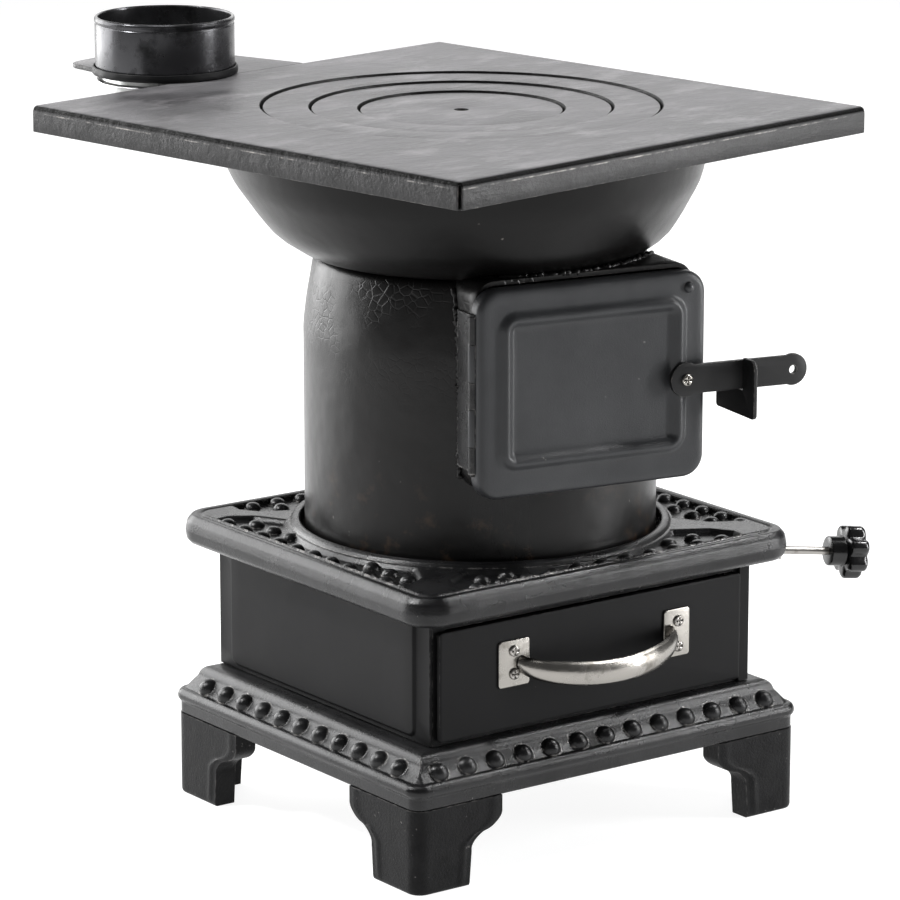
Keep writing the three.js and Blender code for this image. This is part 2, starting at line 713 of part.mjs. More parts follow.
const slotCount = 10;
const slot = { start: 58, margin: 12, half: 4.5 };
function grate() {
  const radius = potOuter - potWall - 2 * running;
  const disc = turned([
    [0, grateLevel],
    [radius, grateLevel],
    [radius, grateLevel + grateThickness],
    [0, grateLevel + grateThickness],
  ]);
  const slots = Array.from({ length: slotCount }, (_, i) =>
    moved(
      block(
        [slot.start, radius - slot.margin],
        [-slot.half, slot.half],
        [grateLevel - 1, grateLevel + grateThickness + 1],
      ),
      about(((i + 0.5) * 2 * Math.PI) / slotCount),
    ),
  );
  const pinZ = [pinPlace.z - 6, grateLevel + 1];
  const pin = post(pinRadius, pinZ, aroundSmall / 2, pinPlace.x, pinPlace.y);
  return cut(join(disc, pin), ...slots);
}

// ---- Bowl: flares from the drum to the underside of the cooking top, leaning with it ----
const flareWidth = bowlRadius - neckRadius;
const flare = new THREE.SplineCurve(
  // Shares of the flare's width and of its height.
  [
    [0.0075, 0.0061],
    [0.1744, 0.0465],
    [0.3579, 0.1303],
    [0.5203, 0.2485],
    [0.6962, 0.4293],
    [0.818, 0.5657],
    [0.9098, 0.7475],
    [1, 1],
  ].map(([x, y]) => new THREE.Vector2(neckRadius + flareWidth * x, bowlHeight * y)),
).getPoints(6);
const spigotRadius = neckRadius - 8.4;
const spigotDepth = 12;

// Every point above the bowl's foot moves sideways in step with its height.
function leaning(geometry, turn = 0) {
  const whole = topShift.clone().rotateAround(new THREE.Vector2(), -turn);
  const place = geometry.getAttribute("position");
  for (let i = 0; i < place.count; i += 1) {
    const share = bowlShiftShare + ((1 - bowlShiftShare) * (place.getZ(i) - bowlFoot)) / bowlHeight;
    place.setXY(i, place.getX(i) + whole.x * share, place.getY(i) + whole.y * share);
  }
  return geometry;
}

function bowl() {
  const outside = flare.map(({ x, y }) => [x, bowlFoot + y]);
  const inside = flare.map(({ x, y }, i) => {
    const before = flare[Math.max(i - 1, 0)];
    const after = flare[Math.min(i + 1, flare.length - 1)];
    const along = after.clone().sub(before).normalize();
    return [x - along.y * bowlWall, bowlFoot + y + along.x * bowlWall];
  });
  inside[inside.length - 1][1] = bowlTop - bowlWall;
  inside[0][1] = bowlFoot + touch + bowlWall;
  const profile = [
    [spigotRadius - 3, bowlFoot - spigotDepth],
    [spigotRadius, bowlFoot - spigotDepth],
    [spigotRadius, bowlFoot + touch],
    [neckRadius - 1, bowlFoot + touch],
    ...outside,
    [fireHole + 7, bowlTop],
    [fireHole + 7, bowlTop - bowlWall],
    ...inside.reverse(),
    [spigotRadius - 3, bowlFoot + touch + bowlWall],
  ];
  return cut(solid(leaning(turnedGeometry(profile))), smokeDuctCore(2 + touch));
}

function bowlCore(clearance, turn) {
  const outside = flare.map(({ x, y }) => [x + clearance, bowlFoot + y - clearance * 0.5]);
  const profile = [[0, bowlFoot - 1], [neckRadius, bowlFoot - 1], ...outside, [0, bowlTop]];
  return solid(leaning(turnedGeometry(profile), turn));
}

// ---- Cooking top: turned-down sheet, lipped ring seats and three lift-out pieces ----
const fireHole = 143;
const plateHole = 150.9;
const ringStep = 1.5; // each ring lies a little lower than the one outside it
const ringThickness = 5;
const ringGap = 0.6;
const lipWidth = 7;
const ringBores = [114.4, 77.9];
const lifterHole = 5.35;
const seatWeld = 14; // width of the seat ring that lies against the plate's underside

const topGroup = new THREE.Group();
topGroup.position.set(topShift.x, topShift.y, cookTop);
topGroup.rotation.z = topTurn;
stove.add(topGroup);
const topMatrix = shift(topShift.x, topShift.y, cookTop).multiply(about(topTurn));

// ---- Flue: a tongue flush with the top, a smoke elbow under it and the collar that a pipe fits ----
const flueCentre = new THREE.Vector2(-57.8, 265.6);
const tongueRoot = topY[1] - 5;
const tongue = [
  [-95.4, tongueRoot],
  [-95.4, topY[1]],
  [-81.2, flueCentre.y + 79.4],
  [-77, flueCentre.y + 87.4],
  [-69, flueCentre.y + 90.9],
  [19, flueCentre.y + 101.9],
  [49, topY[1]],
  [49, tongueRoot],
];
const elbowRadius = 48.5;
const elbowWall = 2;
const elbowDepth = 50; // from the plate's face down to the elbow's closed bottom
const ductHalf = 40;
const flangeRadius = 53.5;
const flueWay = Math.atan2(flueCentre.y, flueCentre.x);
const flueReach = flueCentre.length();
const ductStart = flueReach - 100.8; // just inside the bowl's wall
const atFlue = (radius, z) => post(radius, z, aroundLarge, flueCentre.x, flueCentre.y);

function cookingPlate() {
  const outline = { x: topX, y: topY, radius: 7 };
  const shell = moulded(outline, [
    [0, -topSkirt],
    [0, -4],
    [0.8, -1.8],
    [2, -0.6],
    [4, 0],
  ]);
  const hollow = moulded(outline, [[3, -topSkirt - 1], [3, -topThickness]]);
  const seat = turned([
    [fireHole, -ringLipDepth - topThickness + 0.3],
    [plateHole + seatWeld, -ringLipDepth - topThickness + 0.3],
    [plateHole + seatWeld, -topThickness + 1],
    [plateHole, -topThickness + 1],
    [plateHole, -ringLipDepth + 0.3],
    [fireHole, -ringLipDepth + 0.3],
  ]);
  const bore = post(plateHole, [-topSkirt, 1], aroundLarge);
  const sheetWithSeat = join(cut(shell, hollow, bore), seat, slab(tongue, [-topThickness, 0]));
  return cut(sheetWithSeat, ...flueBores());
}

// What the elbow and the collar's bore take out of the plate and the tongue.
const flueBores = () => [
  atFlue(elbowRadius + touch, [-topThickness - 1, 1]),
  atFlue(flangeRadius + touch, [-topSkirt - 1, -topThickness]),
  moved(
    block(
      [flueReach - 71.8, flueReach - 9.8],
      [-ductHalf - touch, ductHalf + touch],
      [-topSkirt - 1, -ringLipDepth - topThickness],
    ),
    about(flueWay),
  ),
];

// Outside of the elbow: a closed pot under the collar, and a box duct back to the bowl.
function smokeElbow() {
  const bottom = -elbowDepth;
  const roof = -ringLipDepth - topThickness - 1;
  const outside = join(
    atFlue(elbowRadius, [bottom, 12]),
    moved(block([ductStart, flueReach], [-ductHalf, ductHalf], [bottom, roof]), about(flueWay)),
    atFlue(flangeRadius, [-topThickness - 7, -topThickness - touch]),
  );
  const inside = join(
    atFlue(elbowRadius - elbowWall, [bottom + elbowWall, 13]),
    moved(
      block(
        [ductStart - 1, flueReach],
        [-ductHalf + elbowWall, ductHalf - elbowWall],
        [bottom + elbowWall, roof - elbowWall],
      ),
      about(flueWay),
    ),
  );
  return cut(outside, inside);
}

// The duct's outside as a plug in the world's frame, to cut its way through the bowl.
function smokeDuctCore(clearance) {
  const roof = -ringLipDepth - topThickness - 1;
  const box = block(
    [ductStart - 51, ductStart + 59],
    [-ductHalf - clearance + 2, ductHalf + clearance - 2],
    [-elbowDepth - touch, roof + touch],
  );
  return moved(box, topMatrix.clone().multiply(about(flueWay)));
}

function flueCollar() {
  const foot = touch;
  return moved(
    turned([
      [collarRadius - collarWall, foot],
      [collarRadius, foot],
      [collarRadius, collarHeight - 4.5],
      [collarRadius - 0.5, collarHeight - 1.6],
      [collarRadius - 1.6, collarHeight],
      [collarRadius - collarWall, collarHeight],
    ]),
    shift(flueCentre.x, flueCentre.y),
  );
}

const sealBead = () =>
  moved(
    turned([
      [collarRadius + touch, touch],
      [collarRadius + 1.8, touch],
      [collarRadius + 2.2, 3],
      [collarRadius + 1.4, 6.3],
      [collarRadius + touch, 6.3],
    ]),
    shift(flueCentre.x, flueCentre.y),
  );

// One lift-out ring; the innermost piece, with no bore, is the lid.
function cookingRing(index, outer, bore) {
  const face = -ringStep * (index + 1);
  const radius = outer - ringGap;
  if (!bore) {
    const disc = post(radius, [face - ringThickness, face], aroundLarge);
    return cut(disc, post(lifterHole, [face - 9, face + 1], aroundSmall));
  }
  const lipFace = face - ringThickness - ringStep - touch;
  return turned([
    [radius, face],
    [radius, face - ringThickness],
    [bore + 5, face - ringThickness],
    [bore + 5, lipFace - 3.4],
    [bore - lipWidth, lipFace - 3.4],
    [bore - lipWidth, lipFace],
    [bore, lipFace],
    [bore, face],
  ]);
}

// ---- Fire door: neck on the drum, hinged door, latch ----
const doorFoot = bowlFoot - 155.6; // the neck meets the bowl, so the door keeps its place below it
const doorX = [-77.1, 111.6];
const doorZ = [doorFoot, doorFoot + 156.5];
const doorFace = drumRadius + 15; // from the drum's axis
const doorDepth = 12;
const doorSkin = 4;
const neckX = [-73.6, 106];
const neckZ = [doorFoot + 2.5, doorFoot + 161.2];
const neckWall = 3.5;
const neckFront = doorFace - doorDepth - running;
const doorOutline = { x: doorX, y: doorZ, radius: 17 };
const neckOutline = { x: neckX, y: neckZ, radius: 15 };
const ridgeOutline = { x: [-62.5, 96.5], y: [doorFoot + 19.5, doorFoot + 141], radius: 15 };
const hingeAxis = { x: -77.5, depth: doorFace - 8.7 };
const knuckle = 3.5;
const hingePinRadius = 2;
const knuckleZ = [20.5, 40.5, 68.7, 88.7, 117.2, 137.2].map((rise) => doorFoot + rise);
const pivot = { x: 90.7, z: doorFoot + 76.8 };
const rivet = { x: doorX[1] - 15.4, z: doorZ[1] - 12, radius: 4 }; // blind rivet near the top corner
const atHinge = (radius, z, sides = 12) => post(radius, z, sides, hingeAxis.x, -hingeAxis.depth);

const doorGroup = new THREE.Group();
doorGroup.rotation.z = doorTurn;
stove.add(doorGroup);

// Things on the door are drawn flat, x across, y up and depth towards the viewer, then stood up.
const stood = (body) => moved(body, uprightFront);
const spindleBar = (radius, depth, sides = aroundSmall / 2, x = pivot.x, z = pivot.z) =>
  stood(post(radius, depth, sides, x, z));

function doorNeck() {
  const tube = moulded(
    neckOutline,
    [[0, 62], [0, neckFront], [neckWall, neckFront], [neckWall, 62]],
    true,
  );
  const core = moved(drumCore(touch), about(-doorTurn));
  return cut(stood(tube), core, bowlCore(touch + 0.2, doorTurn));
}

// The doorway cut in the drum stays under its shoulder.
function fireDoorway() {
  const outline = { x: neckX, y: [neckZ[0], neckZ[1] - 15], radius: 12 };
  return moved(stood(moulded(outline, [[neckWall, 40], [neckWall, 150]])), about(doorTurn));
}

function keeper() {
  const right = neckX[1] - neckWall;
  const x = [right - 4.5, right - touch];
  return stood(block(x, [pivot.z + 4, pivot.z + 24], [neckFront - 9.8, neckFront - 3]));
}

function hingeLeaf() {
  const plateX = [neckX[0] - touch - 2.3, neckX[0] - touch];
  const plate = block(plateX, [knuckleZ[0], knuckleZ[5]], [neckFront - 24, neckFront]);
  const spans = [0, 2, 4].map((i) => [knuckleZ[i], knuckleZ[i + 1]]);
  const knuckles = spans.map((z) => atHinge(knuckle, z, 16));
  const webDepth = [neckFront - 1, hingeAxis.depth - 2.2];
  const webs = spans.map((z) => stood(block([plateX[0], plateX[1] - 0.6], z, webDepth)));
  const bore = atHinge(hingePinRadius + running, [knuckleZ[0] - 1, knuckleZ[5] + 1]);
  return cut(join(stood(plate), ...webs, ...knuckles), bore);
}

const hingePin = () =>
  join(
    atHinge(hingePinRadius, [knuckleZ[0] - 2, knuckleZ[5] + 2]),
    atHinge(knuckle - 0.4, [knuckleZ[5] + touch, knuckleZ[5] + 2.2]),
  );

function doorPanel() {
  const back = doorFace - doorDepth;
  const edge = [[0, back], [0, doorFace - 3], [0.9, doorFace - 0.9], [3, doorFace]];
  const shell = moulded(doorOutline, edge);
  const pocket = moulded(doorOutline, [[6.5, back - 1], [6.5, doorFace - doorSkin]]);
  const ridgeProfile = [[0, -0.5], [5, 2.8], [7.5, 3.4], [9.8, 2.6], [12, -0.5]];
  const ridge = moulded(ridgeOutline, ridgeProfile.map(([inset, rise]) => [inset, doorFace + rise]), true);
  const boss = post(8, [back + 1.5, doorFace - 1], 16, pivot.x, pivot.z);
  const head = new THREE.SphereGeometry(rivet.radius, 8, 4).rotateX(Math.PI / 2);
  const rivetHead = solid(head.translate(rivet.x, rivet.z, doorFace));
  const seat = post(9.4, [doorFace, doorFace + 6], 16, pivot.x, pivot.z);
  const plate = cut(join(shell.subtract(pocket), ridge, boss, rivetHead), seat);
  const scoop = atHinge(5, [knuckleZ[0] - 4, knuckleZ[5] + 6], 16);
  const lugs = [1, 3].map((i) => [knuckleZ[i] + running, knuckleZ[i + 1] - running]);
  const knuckles = lugs.map((z) => atHinge(knuckle, z, 16));
  const webDepth = [hingeAxis.depth - 1.6, hingeAxis.depth + 1.6];
  const webs = lugs.map((z) => stood(block([hingeAxis.x + 2.4, hingeAxis.x + 7], z, webDepth)));
  const pinBore = atHinge(hingePinRadius + running, [knuckleZ[0], knuckleZ[5]]);
  const spindleBore = spindleBar(spindleRadius + running, [back - 2, doorFace + 2]);
  return cut(join(cut(stood(plate), scoop), ...knuckles, ...webs), pinBore, spindleBore);
}

const spindleRadius = 3.2;
const leverDepth = [doorFace + 4.2, doorFace + 8.2];
const leverLength = 90.8; // pivot to the far hole
const leverDrop = -1.4;
const leverWidth = 22;
const leverEyes = [13, 12];
const leverHole = 3.4;
const screwShank = 2.1;

// Straight bar with an eye at each end, the far one drilled for a lifting hook.
function latchLever() {
  const far = [pivot.x + leverLength, pivot.z + leverDrop];
  const half = leverWidth / 2;
  const shank = slab(
    [
      [pivot.x, pivot.z - half],
      [far[0], far[1] - half],
      [far[0], far[1] + half],
      [pivot.x, pivot.z + half],
    ],
    leverDepth,
  );
  const eyes = join(
    post(leverEyes[0], leverDepth, aroundSmall, pivot.x, pivot.z),
    post(leverEyes[1], leverDepth, aroundSmall, ...far),
  );
  const holes = [
    post(screwShank + touch, [leverDepth[0] - 1, leverDepth[1] + 1], aroundScrew, pivot.x, pivot.z),
    post(leverHole, [leverDepth[0] - 1, leverDepth[1] + 1], aroundSmall, ...far),
  ];
  return stood(cut(join(shank, eyes), ...holes));
}

// A plate set across the bar: it stands in front of it and runs back underneath, beside the neck.
const finX = [138, 141];
function leverFin() {
  const under = pivot.z - leverWidth / 2 - 1.4 - touch;
  const frontEdge = leverDepth[1] + touch - doorFace;
  const outline = [
    [-31, under],
    [-31, pivot.z - 30.5],
    [-29.5, pivot.z - 32.3],
    [23, pivot.z - 32.3],
    [25.4, pivot.z - 29.9],
    [25.4, pivot.z + 6.5],
    [23.5, pivot.z + 10.5],
    [19.5, pivot.z + 12],
    [frontEdge, pivot.z + 12],
    [frontEdge, under],
  ];
  const placed = outline.map(([depth, z]) => [-doorFace - depth, z]);
  return moved(slab(placed, finX), uprightSide);
}

const latchSpindle = () => {
  const collar = spindleBar(8.4, [doorFace + running, leverDepth[0] - touch], 16);
  const shaft = spindleBar(spindleRadius, [neckFront - 21, leverDepth[0] - touch]);
  const thread = spindleBar(screwShank + touch, [leverDepth[0] - 9, leverDepth[0] + 1], aroundScrew);
  return cut(join(collar, shaft), thread);
};

const latchScrew = () =>
  stood(
    moved(
      turned(
        [
          [0, leverDepth[1] + 2.6],
          [2.8, leverDepth[1] + 2.3],
          [4.5, leverDepth[1] + 1],
          [4.5, leverDepth[1] + touch],
          [screwShank, leverDepth[1] + touch],
          [screwShank, leverDepth[0] - 8],
          [0, leverDepth[0] - 8],
        ],
        aroundScrew * 2,
      ),
      shift(pivot.x, pivot.z),
    ),
  );

const camDepth = [neckFront - 14.6, neckFront - 10.4];
function latchCam() {
  const tip = 15;
  const half = 4;
  const plate = join(
    post(7, camDepth, 16, pivot.x, pivot.z),
    block([pivot.x - half, pivot.x + half], [pivot.z, pivot.z + tip], camDepth),
    post(half, camDepth, 12, pivot.x, pivot.z + tip),
  );
  const bore = post(spindleRadius + touch, [camDepth[0] - 1, camDepth[1] + 1], 12, pivot.x, pivot.z);
  return stood(cut(plate, bore));
}

const camNut = () =>
  cut(
    spindleBar(5.6, [camDepth[0] - touch - 4.5, camDepth[0] - touch], 6),
    spindleBar(spindleRadius + touch, [camDepth[0] - 8, camDepth[0] + 1]),
  );

// ---- Shaker: sprung rod with a knob outside the box and an eye on the grate's pin ----
const springWire = 1.1;
const springRadius = 5.1;
const springTurns = 15;
const springSpan = [3.8, 54.6]; // along the rod, between the middles of the end wires
const springSteps = 8;
const springSides = 5;
const knobStart = 96.7;
const hubLength = 12;
const hubRadius = 11.5;
const gripLength = 16;
const gripRadius = 20.5;
const lobes = 7;
const lobeDepth = 2.1;
const stopPlace = [-14, -8.5];
const eye = { radius: 10, half: 2.5, play: 1.8 }; // loose round the grate's pin
const crossPinPlace = springSpan[1] + 2.6;

const shakerGroup = new THREE.Group();
shakerGroup.applyMatrix4(rodFrame);
stove.add(shakerGroup);

function shakerRod() {
  const disc = post(eye.radius, [-eye.half, eye.half], aroundSmall, pinAlong, 0);
  const shaft = bar(rodRadius, [pinAlong + 8, knobStart + hubLength], aroundSmall / 2);
  const eyeHole = post(pinRadius + eye.play, [-4, 4], aroundSmall, pinAlong, 0);
  const crossHole = post(1.5, [-5, 5], aroundScrew, crossPinPlace, 0);
  return cut(join(shaft, disc), eyeHole, crossHole);
}

const crossPin = () => post(1.2, [-7, 7], aroundScrew, crossPinPlace, 0);

function stopNut() {
  const bore = bar(rodRadius + touch, [stopPlace[0] - 1, stopPlace[1] + 1], aroundSmall / 2);
  return cut(bar(7.2, stopPlace, 6), bore);
}

// The coil's middle line runs round the rod at an even pitch; each ring of points stands square to it.
function shakerSpring() {
  const count = springTurns * springSteps;
  const pitch = (springSpan[1] - springSpan[0]) / springTurns;
  const rings = [];
  for (let i = 0; i <= count; i += 1) {
    const angle = (i / springSteps) * 2 * Math.PI;
    const out = new THREE.Vector3(0, Math.cos(angle), Math.sin(angle));
    const sideways = new THREE.Vector3(0, -Math.sin(angle), Math.cos(angle));
    const along = sideways.multiplyScalar(springRadius).setX(pitch / (2 * Math.PI));
    const aside = new THREE.Vector3().crossVectors(along.normalize(), out);
    const middle = out.clone().multiplyScalar(springRadius).setX(springSpan[0] + (i / springSteps) * pitch);
    rings.push(
      Array.from({ length: springSides }, (_, k) => {
        const turn = (k / springSides) * 2 * Math.PI;
        return middle
          .clone()
          .addScaledVector(out, springWire * Math.cos(turn))
          .addScaledVector(aside, springWire * Math.sin(turn));
      }),
    );
  }
  let least = Infinity;
  rings.forEach((ring, i) => {
    for (let j = i + springSteps - 1; j < Math.min(i + springSteps + 2, rings.length); j += 1) {
      for (const a of ring) for (const b of rings[j]) least = Math.min(least, a.distanceTo(b));
    }
  });
  console.log("spring's least gap between turns: " + least.toFixed(2) + " mm");
  return solid(skin(rings));
}

function shakerKnob() {
  const ring = (radius, x, wave) =>
    Array.from({ length: lobes * 4 }, (_, i) => {
      const angle = (i / (lobes * 4)) * 2 * Math.PI;
      const r = radius + wave * Math.cos(lobes * angle);
      return new THREE.Vector3(x, r * Math.cos(angle), r * Math.sin(angle));
    });
  const body = gripRadius - lobeDepth;
  const start = knobStart + hubLength;
  const end = start + gripLength;
  const knob = solid(
    skin([
      ring(hubRadius, knobStart, 0),
      ring(hubRadius, start - 1, 0),
      ring(body - 2.5, start, lobeDepth * 0.6),
      ring(body, start + 2.2, lobeDepth),
      ring(body, end - 4, lobeDepth),
      ring(body - 2.2, end - 1, lobeDepth),
      ring(body - 6, end, lobeDepth * 0.5),
    ]),
  );
  const bore = bar(rodRadius + touch, [knobStart - 2, knobStart + hubLength + touch], aroundSmall / 2);
  return cut(knob, bore);
}

// ---- Scene graph ----
addPiece(hearth, "base_casting", baseCasting(), castIron);
for (const [name, sx, sy] of [
  ["front_left", -1, -1],
  ["front_right", 1, -1],
  ["back_left", -1, 1],
  ["back_right", 1, 1],
]) {
  addPiece(hearth, `foot_${name}`, foot(sx, sy), castIron);
  const bolt = tieBolt(sx < 0 ? tieX[0] : tieX[1], sy < 0 ? tieY[0] : tieY[1]);
  addPiece(hearth, `tie_bolt_${name}`, bolt, bareSteel);
}
addPiece(hearth, "box_side_left", boxSide(-1), blackSheet);
addPiece(hearth, "box_side_right", boxSide(1), blackSheet);
addPiece(hearth, "box_back", boxBack(), blackSheet);
addPiece(hearth, "box_front_frame", frontFrame(), blackSheet);
addPiece(hearth, "box_floor", floorTray(), blackSheet);
addPiece(hearth, "drawer_runner_left", runner(panX[0] + 12), bareSteel);
addPiece(hearth, "drawer_runner_right", runner(panX[1] - 12), bareSteel);
addPiece(hearth, "top_casting", topCasting(), castIron);

const drawerGroup = new THREE.Group();
stove.add(drawerGroup);
const frontHoles = screwPlaces.map(([x, z]) => screwHole(x, z, handleScrew.shank + touch));
addPiece(drawerGroup, "ash_pan", cut(ashPan(), ...frontHoles), blackSheet);
addPiece(drawerGroup, "drawer_front", cut(drawerFront(), ...frontHoles), blackSheet);
addPiece(drawerGroup, "drawer_handle", drawerHandle(), nickelled);
screwPlaces.forEach(([x, z], i) => {
  addPiece(drawerGroup, `handle_screw_${i + 1}`, screwAt(x, z), nickelled);
});

addPiece(hearth, "drum", cut(solid(drumGeometry()), fireDoorway()), graphiteSheet);
addPiece(hearth, "fire_pot_ring", firePotRing(), roughIron);
addPiece(hearth, "bowl", bowl(), graphiteSheet);
const grateGroup = new THREE.Group();
stove.add(grateGroup);
addPiece(grateGroup, "grate", grate(), roughIron);

addPiece(topGroup, "cooking_plate", cookingPlate(), bluedSteel);
addPiece(topGroup, "smoke_elbow", smokeElbow(), brightSheet);
addPiece(topGroup, "flue_collar", flueCollar(), graphiteSheet);
addPiece(topGroup, "collar_seal", sealBead(), blackSheet);
addPiece(topGroup, "large_ring", cookingRing(0, plateHole, ringBores[0]), bluedSteel);
addPiece(topGroup, "small_ring", cookingRing(1, ringBores[0], ringBores[1]), bluedSteel);
addPiece(topGroup, "lid", cookingRing(2, ringBores[1], 0), bluedSteel);

addPiece(doorGroup, "door_neck", doorNeck(), graphiteSheet);
addPiece(doorGroup, "hinge_leaf", hingeLeaf(), castIron);
addPiece(doorGroup, "hinge_pin", hingePin(), bareSteel);
addPiece(doorGroup, "latch_keeper", keeper(), bareSteel);
addPiece(doorGroup, "door_panel", doorPanel(), castIron);
addPiece(doorGroup, "latch_lever", latchLever(), blackSheet);
addPiece(doorGroup, "lever_fin", leverFin(), blackSheet);
addPiece(doorGroup, "latch_spindle", latchSpindle(), bareSteel);
addPiece(doorGroup, "latch_screw", latchScrew(), nickelled);
addPiece(doorGroup, "latch_cam", latchCam(), bareSteel);
addPiece(doorGroup, "cam_nut", camNut(), bareSteel);

addPiece(shakerGroup, "shaker_rod", shakerRod(), bareSteel);
addPiece(shakerGroup, "spring_pin", crossPin(), bareSteel);
addPiece(shakerGroup, "stop_nut", stopNut(), bareSteel);
addPiece(shakerGroup, "shaker_spring", shakerSpring(), bareSteel);
addPiece(shakerGroup, "shaker_knob", shakerKnob(), blackPlastic);

// The origin is the middle of the floor that the whole stove covers.
const wholeBox = new THREE.Box3().setFromObject(stove, true);
const middle = wholeBox.getCenter(new THREE.Vector3());
stove.position.set(-middle.x, -middle.y, -wholeBox.min.z);

export default stove;
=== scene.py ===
import math

import bpy
import numpy as np
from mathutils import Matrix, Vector


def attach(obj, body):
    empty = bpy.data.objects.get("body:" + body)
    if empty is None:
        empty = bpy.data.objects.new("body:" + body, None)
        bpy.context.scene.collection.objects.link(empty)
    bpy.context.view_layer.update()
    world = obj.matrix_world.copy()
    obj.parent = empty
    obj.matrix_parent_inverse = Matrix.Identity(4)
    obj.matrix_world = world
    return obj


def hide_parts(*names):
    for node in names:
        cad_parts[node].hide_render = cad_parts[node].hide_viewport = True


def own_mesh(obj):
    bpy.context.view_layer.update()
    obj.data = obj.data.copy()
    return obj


print("loading the stove's frame")
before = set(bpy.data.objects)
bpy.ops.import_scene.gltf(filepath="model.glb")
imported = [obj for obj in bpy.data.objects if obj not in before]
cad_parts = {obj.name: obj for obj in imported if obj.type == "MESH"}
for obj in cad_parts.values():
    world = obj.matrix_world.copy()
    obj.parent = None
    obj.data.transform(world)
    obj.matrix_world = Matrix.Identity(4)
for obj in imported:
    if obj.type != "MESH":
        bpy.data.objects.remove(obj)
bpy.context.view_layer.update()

# Shapes are worked out in millimetres round the drum's axis, floor at z = 0, front towards -Y.
originShift = np.array([-0.266, -63.475, 0.0])  # drum axis to the frame's origin
doorTurn = math.radians(-9.8)
topTurn = math.radians(9.22)
topShift = np.array([-11.7, 8.6])


# camera, floor and light
studio = {
    "cameraPlace": (-2.07587, -2.84888, 1.1347),
    "cameraLooks": (0.5749, 0.7823, -0.2399),
    "lens": 188.0,
    "floorColour": 0.27,
    "floorGlow": 0.9,
    "roomLight": 0.12,
    "lamps": {
        "leftTall": {"place": (-1.0, 2.15, 0.95), "size": (2.3, 1.8), "power": 95},
        "overhead": {"place": (-0.3, -0.2, 3.2), "size": (1.5, 1.5), "power": 36},
        "rightHigh": {"place": (1.67, -0.66, 2.3), "size": (0.45, 0.45), "power": 40},
        "rightTall": {"place": (1.45, -1.35, 0.7), "size": (0.25, 1.3), "power": 32},
        "backWide": {"place": (1.9, 2.6, 1.55), "size": (4.0, 1.7), "power": 40},
        "keySmall": {"place": (-2.3, 1.0, 2.9), "size": (0.5, 0.5), "power": 120},
    },
}


def makeCamera():
    data = bpy.data.cameras.new("photoCamera")
    data.lens = studio["lens"]
    data.sensor_width = 36.0
    data.clip_end = 50.0
    camera = bpy.data.objects.new("photoCamera", data)
    camera.location = studio["cameraPlace"]
    camera.rotation_euler = Vector(studio["cameraLooks"]).to_track_quat("-Z", "Y").to_euler()
    bpy.context.scene.collection.objects.link(camera)
    bpy.context.scene.camera = camera


makeCamera()


# small helpers
def linearFromHex(text):
    # sRGB hex to linear: c/12.92 low down, ((c+0.055)/1.055)^2.4 above.
    parts = [int(text[i : i + 2], 16) / 255 for i in (1, 3, 5)]
    return tuple(c / 12.92 if c <= 0.04045 else ((c + 0.055) / 1.055) ** 2.4 for c in parts) + (1.0,)


def addNode(tree, kind, settings=None, links=None):
    # One shader node: settings go to its properties or sockets, links join other nodes' outputs.
    node = tree.nodes.new(kind)
    for key, value in (settings or {}).items():
        if isinstance(key, str) and hasattr(node, key):
            setattr(node, key, value)
        else:
            node.inputs[key].default_value = value
    for key, (source, output) in (links or {}).items():
        tree.links.new(source.outputs[output], node.inputs[key])
    return node


def gridFaces(rows, columns, closeRows, closeColumns):
    # Quads between neighbouring points of a rows x columns grid.
    i, j = np.meshgrid(
        np.arange(rows if closeRows else rows - 1),
        np.arange(columns if closeColumns else columns - 1),
        indexing="ij",
    )
    nextI, nextJ = (i + 1) % rows, (j + 1) % columns
    quads = np.stack([i * columns + j, i * columns + nextJ, nextI * columns + nextJ, nextI * columns + j], -1)
    return quads.reshape(-1, 4)


def surface(grid, closeRows=False, closeColumns=True, caps=False):
    # A grid of points as (points, faces), faces turned outwards by the sign of its volume.
    grid = np.asarray(grid, float)
    rows, columns = grid.shape[:2]
    points = grid.reshape(-1, 3)
    faces = [tuple(q) for q in gridFaces(rows, columns, closeRows, closeColumns).tolist()]
    if caps:
        last = (rows - 1) * columns
        faces.append(tuple(range(columns))[::-1])
        faces.append(tuple(range(last, last + columns)))
    quads = np.array([f if len(f) == 4 else (f[0], f[1], f[2], f[2]) for f in faces if len(f) <= 4])
    a, b, c, d = (points[quads[:, k]] for k in range(4))
    volume = np.einsum("ij,ij->", a, np.cross(b, c)) + np.einsum("ij,ij->", a, np.cross(c, d))
    if caps:
        for f in faces[-2:]:
            ring = points[list(f)]
            fan = np.cross(ring[1:-1], ring[2:])
            volume += (ring[0] * fan).sum()
    if volume < 0:
        faces = [f[::-1] for f in faces]
    return points, faces


def merged(*parts):
    points, faces, start = [], [], 0
    for partPoints, partFaces in parts:
        points.append(partPoints)
        faces += [tuple(k + start for k in f) for f in partFaces]
        start += len(partPoints)
    return np.concatenate(points), faces


def moved(part, points):
    return points, part[1]


def turnedBy(points, angle, shift=(0.0, 0.0, 0.0)):
    # Points turned about Z, then shifted.
    c, s = math.cos(angle), math.sin(angle)
    return points @ np.array([[c, s, 0], [-s, c, 0], [0, 0, 1]]) + np.asarray(shift, float)


def onTop(part):
    # From the cooking top's own frame, z = 0 on its face, to the drum's.
    return moved(part, turnedBy(part[0], topTurn, (topShift[0], topShift[1], cookTop)))


def onDoor(part):
    # From the door's flat drawing (x, z, depth) to the drum's frame.
    flat = part[0]
    return moved(part, turnedBy(np.stack([flat[:, 0], -flat[:, 2], flat[:, 1]], -1), doorTurn))


def onFront(part):
    flat = part[0]
    return moved(part, np.stack([flat[:, 0], -flat[:, 2], flat[:, 1]], -1))


